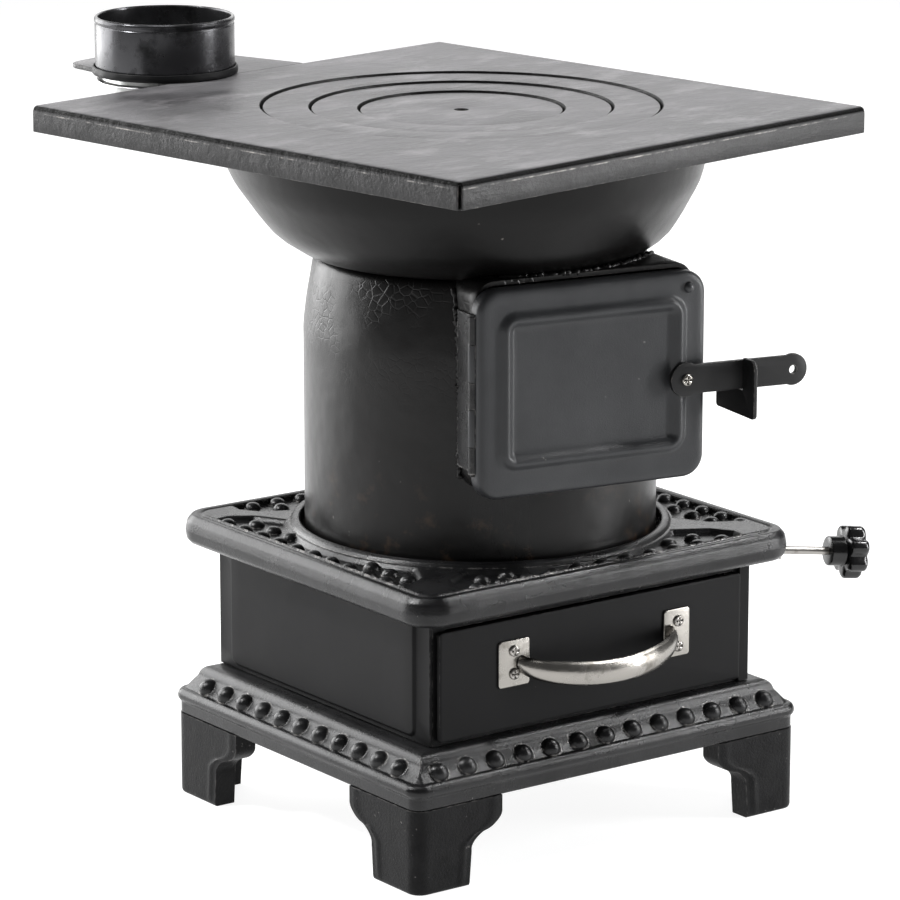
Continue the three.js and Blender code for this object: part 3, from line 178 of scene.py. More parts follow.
def lathe(profile, count, centre=(0.0, 0.0), closed=True):
    # Each profile point (radius, level) carried round a circle: x = r cos a, y = r sin a.
    profile = np.asarray(profile, float)
    angle = np.arange(count) * 2 * np.pi / count
    x = centre[0] + profile[:, :1] * np.cos(angle)
    y = centre[1] + profile[:, :1] * np.sin(angle)
    z = np.repeat(profile[:, 1:], count, axis=1)
    return surface(np.stack([x, y, z], -1), closeRows=closed, caps=not closed)


def softened(points, radius, closed=True, steps=3):
    # Each corner of a polyline becomes a short quadratic curve that starts radius away on both sides.
    points = np.asarray(points, float)
    before = np.roll(points, 1, axis=0) - points
    after = np.roll(points, -1, axis=0) - points
    reach = np.full(len(points), float(radius)) if np.isscalar(radius) else np.asarray(radius, float)

    def share(way):
        return np.minimum(0.45, reach / np.maximum(np.linalg.norm(way, axis=1), 1e-9))[:, None] * way

    start, end = points + share(before), points + share(after)
    if not closed:
        start[[0, -1]] = end[[0, -1]] = points[[0, -1]]
    t = np.linspace(0, 1, steps + 1)[None, :, None]
    curve = (1 - t) ** 2 * start[:, None] + 2 * t * (1 - t) * points[:, None] + t**2 * end[:, None]
    return curve.reshape(-1, points.shape[1])


def roundedLoop(outline, inset=0.0, perCorner=10, perSide=1):
    # Points round a rectangle with rounded corners, taken in by inset; the same count for every inset.
    (x0, x1), (y0, y1), radius = outline["x"], outline["y"], outline["radius"]
    r = max(radius - inset, 0.4)
    reach = inset + r
    right, left, back, front = x1 - reach, x0 + reach, y1 - reach, y0 + reach
    centres = np.array([[right, back], [left, back], [left, front], [right, front]])
    loops = []
    for quarter in range(4):
        angle = (quarter + np.linspace(0, 1, perCorner + 1)) * np.pi / 2
        arc = centres[quarter] + r * np.stack([np.cos(angle), np.sin(angle)], -1)
        nextAngle = (quarter + 1) * np.pi / 2
        nextStart = centres[(quarter + 1) % 4] + r * np.array([math.cos(nextAngle), math.sin(nextAngle)])
        side = np.linspace(0, 1, perSide + 1)[1:-1, None] * (nextStart - arc[-1]) + arc[-1]
        loops += [arc, side]
    return np.concatenate(loops)


def atLevel(loop, level):
    return np.concatenate([loop, np.full((len(loop), 1), float(level))], axis=1)


def moulding(outline, profile, perCorner=10, perSide=1, closed=False):
    # A rounded rectangle's edge carried through (inset, level) pairs; closed for a frame, capped for a plate.
    rows = [atLevel(roundedLoop(outline, inset, perCorner, perSide), level) for inset, level in profile]
    return surface(np.stack(rows), closeRows=closed, caps=not closed)


def slabFrom(outline, levels, edge=0.6):
    # A flat outline (n x 2, anticlockwise) between two levels, with a small soft edge of width edge.
    outline = np.asarray(outline, float)
    before, after = np.roll(outline, 1, axis=0), np.roll(outline, -1, axis=0)
    way = after - before
    normal = np.stack([way[:, 1], -way[:, 0]], -1)
    normal /= np.maximum(np.linalg.norm(normal, axis=1, keepdims=True), 1e-9)
    low, high = levels
    rows = [
        atLevel(outline - normal * edge, low),
        atLevel(outline - normal * edge * 0.3, low + edge * 0.3),
        atLevel(outline, low + edge),
        atLevel(outline, high - edge),
        atLevel(outline - normal * edge * 0.3, high - edge * 0.3),
        atLevel(outline - normal * edge, high),
    ]
    return surface(np.stack(rows), caps=True)


def tube(path, radius, around=12):
    # A round tube: at each path point two directions square to the path carry a circle of its radius.
    path = np.asarray(path, float)
    along = np.gradient(path, axis=0)
    along /= np.linalg.norm(along, axis=1, keepdims=True)
    side = np.cross(along, np.array([0.31, 0.17, 0.94]))
    side /= np.linalg.norm(side, axis=1, keepdims=True)
    up = np.cross(side, along)
    angle = np.arange(around) * 2 * np.pi / around
    radius = np.broadcast_to(np.asarray(radius, float), (len(path),))[:, None, None]
    ring = np.cos(angle)[None, :, None] * side[:, None] + np.sin(angle)[None, :, None] * up[:, None]
    return surface(path[:, None] + radius * ring, caps=True)


def dome(profile, around=20):
    # A small cast bead about Z: (radius, level) rows closed by a fan at the crown.
    profile = np.asarray(profile, float)
    angle = np.arange(around) * 2 * np.pi / around
    x, y = profile[:, :1] * np.cos(angle), profile[:, :1] * np.sin(angle)
    z = np.repeat(profile[:, 1:], around, axis=1)
    return surface(np.stack([x, y, z], -1), caps=True)


def carried(part, place, outward=(0.0, 0.0, 1.0)):
    # A part drawn about Z, stood on a place so that Z points outward.
    turn = np.array(Vector((0, 0, 1)).rotation_difference(Vector(outward)).to_matrix())
    return moved(part, part[0] @ turn.T + np.asarray(place, float))


def waves(points, seed, size, height):
    # Gentle unevenness: a sum of six sine waves in seeded directions, about size millimetres long.
    dice = np.random.default_rng(seed)
    total = np.zeros(len(points))
    for _ in range(6):
        way = dice.normal(size=3)
        way *= 2 * np.pi / (size * dice.uniform(0.7, 1.6) * np.linalg.norm(way))
        total += np.sin(points @ way + dice.uniform(0, 6.28))
    return height * total / 6


def addPiece(name, part, material, body, replaced=(), smooth=38):
    points, faces = part
    mesh = bpy.data.meshes.new(name)
    mesh.from_pydata(((points + originShift) / 1000).tolist(), [], faces)
    mesh.polygons.foreach_set("use_smooth", np.ones(len(mesh.polygons), bool))
    mesh.set_sharp_from_angle(angle=math.radians(smooth))
    mesh.materials.append(material)
    mesh.update()
    piece = bpy.data.objects.new(name, mesh)
    bpy.context.scene.collection.objects.link(piece)
    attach(piece, body)
    if replaced:
        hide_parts(*replaced)
    return piece


def cutPiece(piece, tool, smooth=38):
    # Takes a closed part out of a piece with an exact boolean and keeps the result as its mesh.
    points, faces = tool
    mesh = bpy.data.meshes.new("cutter")
    mesh.from_pydata(((points + originShift) / 1000).tolist(), [], faces)
    cutter = bpy.data.objects.new("cutter", mesh)
    bpy.context.scene.collection.objects.link(cutter)
    modifier = piece.modifiers.new("cut", "BOOLEAN")
    modifier.operation = "DIFFERENCE"
    modifier.solver = "EXACT"
    modifier.object = cutter
    bpy.context.view_layer.update()
    cutMesh = bpy.data.meshes.new_from_object(piece.evaluated_get(bpy.context.evaluated_depsgraph_get()))
    piece.modifiers.clear()
    old = piece.data
    piece.data = cutMesh
    bpy.data.meshes.remove(old)
    cutMesh.polygons.foreach_set("use_smooth", np.ones(len(cutMesh.polygons), bool))
    cutMesh.set_sharp_from_angle(angle=math.radians(smooth))
    bpy.data.objects.remove(cutter)


# materials
def newMaterial(name):
    # The last value is the object's own coordinates in metres, as (node, output).
    material = bpy.data.materials.new(name)
    material.use_nodes = True
    tree = material.node_tree
    tree.nodes.clear()
    output = addNode(tree, "ShaderNodeOutputMaterial")
    shader = addNode(tree, "ShaderNodeBsdfPrincipled")
    tree.links.new(shader.outputs[0], output.inputs[0])
    place = addNode(tree, "ShaderNodeTexCoord")
    return material, tree, shader, (place, "Object")


def joined(tree, shader, colour, gloss, relief):
    # Colour, roughness and normal of a finish go to its shader.
    tree.links.new(colour.outputs[2], shader.inputs["Base Color"])
    tree.links.new(gloss.outputs["Result"], shader.inputs["Roughness"])
    tree.links.new(relief.outputs["Normal"], shader.inputs["Normal"])


# How wear spreads, and how the painted highlight line under the top's bend is broken up: sizes in millimetres;
# each patch gives the value where it starts and where it is full.
wear = {
    "edge": {"From Min": 0.985, "From Max": 0.86}, "edgePatch": {"From Min": 0.47, "From Max": 0.62},
    "scaleSize": 45, "scalePatch": {"From Min": 0.45, "From Max": 0.6}, "scaleBorder": 0.09,
    "stainSize": 26, "stainPatch": {"From Min": 0.56, "From Max": 0.72, "To Max": 0.7},
    "bendHighlightSize": 16, "bendHighlightPatch": {"From Min": 0.45, "From Max": 0.62, "To Max": 0.6},
    "dentSize": 38, "dentDepth": 0.004, "chipWidth": 0.03,
}


def wornEdges(tree, place, radius, patchSize):
    # Share of bare metal: where the rounded-corner normal leaves the true one, broken up by noise.
    bevel = addNode(tree, "ShaderNodeBevel", {"samples": 6, "Radius": radius})
    true = addNode(tree, "ShaderNodeNewGeometry")
    both = {0: (bevel, "Normal"), 1: (true, "Normal")}
    likeness = addNode(tree, "ShaderNodeVectorMath", {"operation": "DOT_PRODUCT"}, both)
    edge = addNode(tree, "ShaderNodeMapRange", wear["edge"], {"Value": (likeness, "Value")})
    patches = {"Scale": 1000 / patchSize, "Detail": 5.0, "Roughness": 0.65}
    noise = addNode(tree, "ShaderNodeTexNoise", patches, {"Vector": place})
    patch = addNode(tree, "ShaderNodeMapRange", wear["edgePatch"], {"Value": (noise, "Fac")})
    both = {0: (edge, "Result"), 1: (patch, "Result")}
    return addNode(tree, "ShaderNodeMath", {"operation": "MULTIPLY", "use_clamp": True}, both)


def heightShare(tree, place, low, high):
    # 0 at one level of the object, 1 at the other.
    parts = addNode(tree, "ShaderNodeSeparateXYZ", None, {0: place})
    return addNode(tree, "ShaderNodeMapRange", {"From Min": low, "From Max": high}, {"Value": (parts, "Z")})


def crackledFilm(tree, place, under, crackle):
    # Paint that has drawn into scales with heat: cell borders sink, in patches, more towards one level.
    share = heightShare(tree, place, crackle["none"], crackle["full"])
    scales = {"feature": "DISTANCE_TO_EDGE", "Scale": 1000 / crackle["cell"]}
    cells = addNode(tree, "ShaderNodeTexVoronoi", scales, {"Vector": place})
    border = addNode(tree, "ShaderNodeMapRange", {"From Max": wear["scaleBorder"]}, {"Value": (cells, "Distance")})
    patches = {"Scale": 1000 / wear["scaleSize"], "Detail": 3.0}
    noise = addNode(tree, "ShaderNodeTexNoise", patches, {"Vector": place})
    patch = addNode(tree, "ShaderNodeMapRange", wear["scalePatch"], {"Value": (noise, "Fac")})
    both = {0: (patch, "Result"), 1: (share, "Result")}
    strength = addNode(tree, "ShaderNodeMath", {"operation": "MULTIPLY"}, both)
    links = {"Strength": (strength, 0), "Height": (border, "Result"), "Normal": (under, "Normal")}
    return addNode(tree, "ShaderNodeBump", {"Distance": crackle["depth"]}, links)


def heatStains(tree, place, film, rust):
    # Brown bloom where heat and damp got under the film: noise patches, more towards one level.
    share = heightShare(tree, place, rust["none"], rust["full"])
    stains = {"Scale": 1000 / wear["stainSize"], "Detail": 6.0, "Roughness": 0.7}
    noise = addNode(tree, "ShaderNodeTexNoise", stains, {"Vector": place})
    patch = addNode(tree, "ShaderNodeMapRange", wear["stainPatch"], {"Value": (noise, "Fac")})
    both = {0: (patch, "Result"), 1: (share, "Result")}
    amount = addNode(tree, "ShaderNodeMath", {"operation": "MULTIPLY"}, both)
    brown = {"data_type": "RGBA", 7: linearFromHex(rust["colour"])}
    return addNode(tree, "ShaderNodeMix", brown, {0: (amount, 0), 6: (film, 2)})


def stovePaint(name, look):
    # Heat-proof black paint on iron or sheet: dark satin film, cast or rolled grain under it,
    # cloudy gloss where hands and heat polished it, bare metal along edges and in small chips.
    material, tree, shader, place = newMaterial(name)
    stretch = addNode(tree, "ShaderNodeMapping", {"Scale": look["stretch"]}, {"Vector": place})
    clouds = {"Scale": 1000 / look["cloud"], "Detail": 6.0, "Roughness": 0.6}
    cloud = addNode(tree, "ShaderNodeTexNoise", clouds, {"Vector": (stretch, "Vector")})
    tone = addNode(tree, "ShaderNodeMapRange", {"From Min": 0.3, "From Max": 0.7}, {"Value": (cloud, "Fac")})
    blacks = {"data_type": "RGBA", 6: linearFromHex(look["dark"]), 7: linearFromHex(look["light"])}
    film = addNode(tree, "ShaderNodeMix", blacks, {0: (tone, "Result")})
    if "rust" in look:
        film = heatStains(tree, place, film, look["rust"])
    chips = addNode(tree, "ShaderNodeTexNoise", {"Scale": 1000 / look["chip"], "Detail": 3.0}, {"Vector": place})
    chipEdge = {"From Min": look["chipStart"], "From Max": look["chipStart"] + wear["chipWidth"]}
    chipped = addNode(tree, "ShaderNodeMapRange", chipEdge, {"Value": (chips, "Fac")})
    edges = wornEdges(tree, place, look["edge"] / 1000, look["edgePatch"])
    either = {0: (edges, 0), 1: (chipped, "Result")}
    bare = addNode(tree, "ShaderNodeMath", {"operation": "MAXIMUM", "use_clamp": True}, either)
    bareShare = addNode(tree, "ShaderNodeMath", {"operation": "MULTIPLY", 1: look["bareShare"]}, {0: (bare, 0)})
    iron = {"data_type": "RGBA", 7: linearFromHex(look["bare"])}
    colour = addNode(tree, "ShaderNodeMix", iron, {0: (bareShare, 0), 6: (film, 2)})
    grains = {"Scale": 1000 / look["grain"], "Detail": 4.0, "Roughness": 0.7}
    grain = addNode(tree, "ShaderNodeTexNoise", grains, {"Vector": place})
    castDepth = {"Strength": look["bump"], "Distance": look["grain"] / 1000 * 0.35}
    cast = addNode(tree, "ShaderNodeBump", castDepth, {"Height": (grain, "Fac")})
    hollows = {"Scale": 1000 / wear["dentSize"], "Detail": 2.0}
    dents = addNode(tree, "ShaderNodeTexNoise", hollows, {"Vector": place})
    dentDepth = {"Strength": look["dents"], "Distance": wear["dentDepth"]}
    relief = addNode(tree, "ShaderNodeBump", dentDepth, {"Height": (dents, "Fac"), "Normal": (cast, "Normal")})
    if "crackle" in look:
        relief = crackledFilm(tree, place, relief, look["crackle"])
    polish = {"From Min": 0.3, "From Max": 0.7, "To Min": look["rough"][0], "To Max": look["rough"][1]}
    gloss = addNode(tree, "ShaderNodeMapRange", polish, {"Value": (cloud, "Fac")})
    shader.inputs["Metallic"].default_value = look["metallic"]
    shader.inputs["Specular IOR Level"].default_value = look["specular"]
    joined(tree, shader, colour, gloss, relief)
    return material


def metal(name, look):
    # Bare or plated metal: clean and tarnished colour in clouds, fine rubbing marks along one way.
    material, tree, shader, place = newMaterial(name)
    stretch = addNode(tree, "ShaderNodeMapping", {"Scale": look["stretch"]}, {"Vector": place})
    rubbing = {"Scale": 1000 / look["rub"], "Detail": 4.0, "Roughness": 0.6}
    rub = addNode(tree, "ShaderNodeTexNoise", rubbing, {"Vector": (stretch, "Vector")})
    clouds = {"Scale": 1000 / look["cloud"], "Detail": 5.0, "Roughness": 0.62}
    cloud = addNode(tree, "ShaderNodeTexNoise", clouds, {"Vector": place})
    dulling = {"From Min": look["tarnish"], "From Max": look["tarnish"] + 0.16}
    tarnish = addNode(tree, "ShaderNodeMapRange", dulling, {"Value": (cloud, "Fac")})
    tones = {"data_type": "RGBA", 6: linearFromHex(look["clean"]), 7: linearFromHex(look["dull"])}
    colour = addNode(tree, "ShaderNodeMix", tones, {0: (tarnish, "Result")})
    polish = {"From Min": 0.3, "From Max": 0.7, "To Min": look["rough"][0], "To Max": look["rough"][1]}
    gloss = addNode(tree, "ShaderNodeMapRange", polish, {"Value": (cloud, "Fac")})
    markDepth = {"Strength": look["bump"], "Distance": 0.0003}
    marks = addNode(tree, "ShaderNodeBump", markDepth, {"Height": (rub, "Fac")})
    shader.inputs["Metallic"].default_value = look["metallic"]
    joined(tree, shader, colour, gloss, marks)
    return material


def bendHighlightAndWear(tree, place, look):
    # Painted highlight: a bright line painted along the turned-down edge, a few millimetres under the face, broken
    # up by noise; with it real wear on the rounded edges.
    parts = addNode(tree, "ShaderNodeSeparateXYZ", None, {0: place})
    level = {"operation": "COMPARE", 1: look["bendLevel"], 2: look["bendLine"]}
    band = addNode(tree, "ShaderNodeMath", level, {0: (parts, "Z")})
    patches = {"Scale": 1000 / wear["bendHighlightSize"], "Detail": 6.0, "Roughness": 0.7}
    noise = addNode(tree, "ShaderNodeTexNoise", patches, {"Vector": place})
    patch = addNode(tree, "ShaderNodeMapRange", wear["bendHighlightPatch"], {"Value": (noise, "Fac")})
    line = addNode(tree, "ShaderNodeMath", {"operation": "MULTIPLY"}, {0: (band, 0), 1: (patch, "Result")})
    edges = wornEdges(tree, place, look["edge"] / 1000, look["edgePatch"])
    either = {0: (line, 0), 1: (edges, 0)}
    return addNode(tree, "ShaderNodeMath", {"operation": "MAXIMUM", "use_clamp": True}, either)


def shadedJoints(tree, place, steel, look):
    # Painted shade: black rings painted in the joints between plate, rings and lid, and on what lies under them,
    # where the gaps fall into shade.
    centre = (np.array([*topShift, 0]) + originShift) / 1000
    fromCentre = {"operation": "SUBTRACT", 1: (centre[0], centre[1], 0.0)}
    flat = addNode(tree, "ShaderNodeVectorMath", fromCentre, {0: place})
    parts = addNode(tree, "ShaderNodeSeparateXYZ", None, {0: (flat, "Vector")})
    level = addNode(tree, "ShaderNodeCombineXYZ", {"Z": 0.0}, {"X": (parts, "X"), "Y": (parts, "Y")})
    reach = addNode(tree, "ShaderNodeVectorMath", {"operation": "LENGTH"}, {0: (level, "Vector")})
    black = {"data_type": "RGBA", 7: linearFromHex(look["shadeBlack"])}
    gapShade = steel
    for radius in look["joints"]:
        ring = {"operation": "COMPARE", 1: radius, 2: look["jointWidth"] / 2000}
        joint = addNode(tree, "ShaderNodeMath", ring, {0: (reach, "Value")})
        gapShade = addNode(tree, "ShaderNodeMix", black, {0: (joint, 0), 6: (gapShade, 2)})
    return gapShade


def paintedSkirtShade(tree, steel, edges, look):
    # Painted shade: the turned-down edges, whose faces stand upright, are painted darker except where edge wear
    # and the highlight line show, and the bend is painted black.
    # Returns the colour and how metallic it is: black and fully metallic in the bend mirrors nothing, so the bend
    # reads as a line of painted shade.
    true = addNode(tree, "ShaderNodeNewGeometry")
    parts = addNode(tree, "ShaderNodeSeparateXYZ", None, {0: (true, "Normal")})
    turnedDown = {"From Min": 0.93, "From Max": 0.6, "To Max": look["skirtShadeShare"]}
    upright = addNode(tree, "ShaderNodeMapRange", turnedDown, {"Value": (parts, "Z")})
    both = {0: (upright, "Result"), 1: (edges, 0)}
    left = addNode(tree, "ShaderNodeMath", {"operation": "SUBTRACT", "use_clamp": True}, both)
    black = {"data_type": "RGBA", 7: linearFromHex(look["shadeBlack"])}
    skirt = addNode(tree, "ShaderNodeMix", black, {0: (left, 0), 6: (steel, 2)})
    low = addNode(tree, "ShaderNodeMapRange", {"From Min": 0.15, "From Max": 0.4}, {"Value": (parts, "Z")})
    high = addNode(tree, "ShaderNodeMapRange", {"From Min": 0.96, "From Max": 0.85}, {"Value": (parts, "Z")})
    bend = addNode(tree, "ShaderNodeMath", {"operation": "MULTIPLY"}, {0: (low, "Result"), 1: (high, "Result")})
    bendShadeColour = {"data_type": "RGBA", 7: linearFromHex(look["bend"])}
    colour = addNode(tree, "ShaderNodeMix", bendShadeColour, {0: (bend, 0), 6: (skirt, 2)})
    metallic = addNode(tree, "ShaderNodeMapRange", {"To Min": look["metallic"]}, {"Value": (bend, 0)})
    return colour, metallic


def oiledTopSteel(name, look):
    # Rolled steel, oiled and blued by heat: cloudy mid-grey, soft scuffs along the sheet, pits, worn edges, a
    # painted highlight line under the bend, and painted shade in the joints, on the turned-down edges and in the
    # bend.
    material, tree, shader, place = newMaterial(name)
    turned = addNode(tree, "ShaderNodeMapping", {"Rotation": (0, 0, -topTurn)}, {"Vector": place})
    scuffing = {"Scale": (0.45, 1.0, 1.0), "Rotation": (0, 0, look["scuffTurn"])}
    scuffWay = addNode(tree, "ShaderNodeMapping", scuffing, {"Vector": (turned, "Vector")})
    scuffs = {"Scale": 1000 / look["scuff"], "Detail": 7.0, "Roughness": 0.72}
    scuff = addNode(tree, "ShaderNodeTexNoise", scuffs, {"Vector": (scuffWay, "Vector")})
    clouds = {"Scale": 1000 / look["mottle"], "Detail": 8.0, "Roughness": 0.66, "Distortion": 0.6}
    mottle = addNode(tree, "ShaderNodeTexNoise", clouds, {"Vector": (turned, "Vector")})
    tone = addNode(tree, "ShaderNodeMapRange", {"From Min": 0.32, "From Max": 0.68}, {"Value": (mottle, "Fac")})
    greys = {"data_type": "RGBA", 6: linearFromHex(look["dark"]), 7: linearFromHex(look["light"])}
    base = addNode(tree, "ShaderNodeMix", greys, {0: (tone, "Result")})
    rubbed = {"From Min": 0.5, "From Max": 0.7, "To Max": 0.8}
    scuffShare = addNode(tree, "ShaderNodeMapRange", rubbed, {"Value": (scuff, "Fac")})
    pale = {"data_type": "RGBA", 7: linearFromHex(look["scuffed"])}
    scuffed = addNode(tree, "ShaderNodeMix", pale, {0: (scuffShare, "Result"), 6: (base, 2)})
    # A painted highlight line under the bend, with real edge wear.
    edges = bendHighlightAndWear(tree, place, look)
    bright = {"data_type": "RGBA", 7: linearFromHex(look["bare"])}
    colour = addNode(tree, "ShaderNodeMix", bright, {0: (edges, 0), 6: (scuffed, 2)})
    # Painted shade in the joints between the top's parts.
    colour = shadedJoints(tree, place, colour, look)
    # Painted shade on the turned-down edges and in the bend.
    colour, metallic = paintedSkirtShade(tree, colour, edges, look)
    pit = addNode(tree, "ShaderNodeTexNoise", {"Scale": 1000 / look["pit"], "Detail": 2.0}, {"Vector": place})
    pits = addNode(tree, "ShaderNodeBump", {"Strength": 0.35, "Distance": 0.0006}, {"Height": (pit, "Fac")})
    sheetWaves = {"Height": (scuff, "Fac"), "Normal": (pits, "Normal")}
    sheet = addNode(tree, "ShaderNodeBump", {"Strength": 0.5, "Distance": 0.004}, sheetWaves)
    polish = {"From Min": 0.35, "From Max": 0.65, "To Min": look["rough"][0], "To Max": look["rough"][1]}
    gloss = addNode(tree, "ShaderNodeMapRange", polish, {"Value": (mottle, "Fac")})
    tree.links.new(metallic.outputs["Result"], shader.inputs["Metallic"])
    joined(tree, shader, colour, gloss, sheet)
    return material


print("making the finishes")
# Cast iron under polished stove black: near-black castings with soft bright highlights on rims and beads.
castIron = stovePaint("polishedCastIron", {
    "dark": "#0d0d0e", "light": "#242425", "bare": "#a5a29f", "metallic": 0.3, "specular": 0.4,
    "rough": (0.2, 0.34), "cloud": 40.0, "grain": 1.8, "bump": 0.4, "dents": 0.15, "stretch": (1, 1, 1),
    "chip": 4.0, "chipStart": 0.75, "edge": 2.2, "edgePatch": 5.0, "bareShare": 0.65,
})
# The same iron, less polished, its colour painted darker for the upright feet: painted shade on dull black feet
# with faint mottling.
shadedFootIron = stovePaint("shadedFootCastIron", {
    "dark": "#050506", "light": "#171718", "bare": "#7d7a78", "metallic": 0.0, "specular": 0.12,
    "rough": (0.34, 0.5), "cloud": 16.0, "grain": 2.2, "bump": 0.6, "dents": 0.25, "stretch": (1, 1, 1),
    "chip": 4.0, "chipStart": 0.7, "edge": 1.6, "edgePatch": 6.0, "bareShare": 0.4,
})
# Satin paint, greyer than the rest: an even slate face whose ridge catches soft light.
doorPaint = stovePaint("doorPaint", {
    "dark": "#28292b", "light": "#343537", "bare": "#8d8b88", "metallic": 0.15, "specular": 0.4,
    "rough": (0.32, 0.44), "cloud": 70.0, "grain": 1.3, "bump": 0.35, "dents": 0.15, "stretch": (1, 1, 1),
    "chip": 9.0, "chipStart": 0.76, "edge": 1.4, "edgePatch": 8.0, "bareShare": 0.5,
})
# Thick stove paint on the drum: deep black streaked downwards, scaled near the hot top, brown low down.
drumPaint = stovePaint("drumPaint", {
    "dark": "#090909", "light": "#141313", "bare": "#7d7a76", "metallic": 0.2, "specular": 0.3,
    "rough": (0.24, 0.38), "cloud": 90.0, "grain": 1.2, "bump": 0.22, "dents": 0.3, "stretch": (1, 1, 0.22),
    "chip": 8.0, "chipStart": 0.75, "edge": 1.2, "edgePatch": 8.0, "bareShare": 0.5,
    "crackle": {"none": 0.33, "full": 0.42, "cell": 7.0, "depth": 0.00022},
    "rust": {"none": 0.3, "full": 0.22, "colour": "#4a3a2c"},
})
# The blackest paint: one smooth dark sweep with a soft sheen at its sides.
bowlPaint = stovePaint("bowlPaint", {
    "dark": "#050505", "light": "#0e0d0d", "bare": "#8a8580", "metallic": 0.2, "specular": 0.2,
    "rough": (0.26, 0.4), "cloud": 80.0, "grain": 1.2, "bump": 0.22, "dents": 0.22, "stretch": (0.4, 0.4, 1),
    "chip": 8.0, "chipStart": 0.76, "edge": 1.2, "edgePatch": 8.0, "bareShare": 0.5,
})
# Matt black paint on the folded ash box: quiet faces between the shiny castings.
sheetPaint = stovePaint("sheetPaint", {
    "dark": "#0b0b0c", "light": "#131314", "bare": "#8a8886", "metallic": 0.0, "specular": 0.12,
    "rough": (0.42, 0.56), "cloud": 70.0, "grain": 0.9, "bump": 0.22, "dents": 0.06, "stretch": (1, 1, 1),
    "chip": 5.0, "chipStart": 0.79, "edge": 1.0, "edgePatch": 9.0, "bareShare": 0.45,
})
# Painted flat bar, rubbed by hands: black with bright nicks along its edges.
leverPaint = stovePaint("leverPaint", {
    "dark": "#0e0e0f", "light": "#171718", "bare": "#a19d97", "metallic": 0.15, "specular": 0.35,
    "rough": (0.4, 0.54), "cloud": 30.0, "grain": 0.8, "bump": 0.25, "dents": 0.05, "stretch": (1, 1, 1),
    "chip": 4.0, "chipStart": 0.76, "edge": 0.9, "edgePatch": 5.0, "bareShare": 0.8,
})
# Oiled steel top: mid-grey sheen clouded by heat, with painted shade as black joints, a black bend and darker
# turned-down edges, and a painted highlight line under the bend.
topSteel = oiledTopSteel("oiledTopSteel", {
    "dark": "#302f31", "light": "#6a696b", "scuffed": "#7c7a7c", "bare": "#a5a09a", "metallic": 0.4,
    # The black below is painted shade in the joints, the bend and the turned-down edges; the bend level and line
    # place a painted highlight.
    "rough": (0.4, 0.54), "scuff": 30.0, "mottle": 110.0, "pit": 5.0, "shadeBlack": "#0b0b0b",
    "joints": (0.1502, 0.1135, 0.0771), "jointWidth": 2.4, "bendLevel": 0.5379, "bendLine": 0.00045,
    "bend": "#050505", "skirtShadeShare": 0.88, "scuffTurn": 0.62, "edge": 1.2, "edgePatch": 9.0,
})
# Blued pipe collar: a dark mirror with cloudy patches.
collarSteel = metal("collarSteel", {
    "clean": "#454547", "dull": "#232324", "metallic": 0.85, "rough": (0.2, 0.34), "stretch": (1, 1, 0.2),
    "rub": 5.0, "cloud": 24.0, "tarnish": 0.48, "bump": 0.3,
})
# Nickel plate on the pull: round bright highlights dulled by tarnish.
nickelPlate = metal("nickelPlate", {
    "clean": "#999691", "dull": "#65615b", "metallic": 1.0, "rough": (0.16, 0.34), "stretch": (0.15, 1, 1),
    "rub": 3.0, "cloud": 18.0, "tarnish": 0.56, "bump": 0.25,
})
# Galvanised elbow: pale bright sheet with a grey bloom.
zincSheet = metal("zincSheet", {
    "clean": "#c4c5c4", "dull": "#8f8f8d", "metallic": 1.0, "rough": (0.22, 0.38), "stretch": (1, 1, 0.3),
    "rub": 4.0, "cloud": 22.0, "tarnish": 0.52, "bump": 0.3,
})
# Unpainted steel of rod, spring and bolts: light grey, finely rubbed.
bareSteel = metal("bareSteel", {
    "clean": "#a5a29e", "dull": "#6f6a64", "metallic": 1.0, "rough": (0.26, 0.42), "stretch": (1, 1, 1),
    "rub": 1.6, "cloud": 12.0, "tarnish": 0.5, "bump": 0.3,
})
# Iron in the fire: dull, rough, scale-brown.
burntIron = metal("burntIron", {
    "clean": "#3c3632", "dull": "#5b4336", "metallic": 0.4, "rough": (0.7, 0.88), "stretch": (1, 1, 1),
    "rub": 2.5, "cloud": 25.0, "tarnish": 0.52, "bump": 0.9,
})
# Moulded knob: glossy black plastic with small sharp highlights.
knobPhenolic = metal("knobPhenolic", {
    "clean": "#0d0d0e", "dull": "#1a1a1b", "metallic": 0.0, "rough": (0.16, 0.26), "stretch": (1, 1, 1),
    "rub": 3.0, "cloud": 14.0, "tarnish": 0.6, "bump": 0.05,
})

print("finishing the pieces that stay as the frame has them")
kept = {
    "tie_bolt_front_left": bareSteel, "tie_bolt_front_right": bareSteel, "tie_bolt_back_left": bareSteel,
    "tie_bolt_back_right": bareSteel, "box_back": sheetPaint, "box_front_frame": sheetPaint,
    "box_floor": sheetPaint, "drawer_runner_left": bareSteel, "drawer_runner_right": bareSteel,
    "ash_pan": sheetPaint, "fire_pot_ring": burntIron, "grate": burntIron, "hinge_leaf": castIron,
    "hinge_pin": leverPaint, "latch_keeper": bareSteel, "latch_spindle": bareSteel, "latch_cam": bareSteel,
    "cam_nut": bareSteel, "shaker_rod": bareSteel, "spring_pin": bareSteel, "stop_nut": bareSteel,
}
for nodeName, finish in kept.items():
    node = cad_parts[nodeName]
    node.data.materials.clear()
    node.data.materials.append(finish)

# levels that several pieces share
castingTop = 222.5
bowlFoot = 433.1
cookTop = 543.2

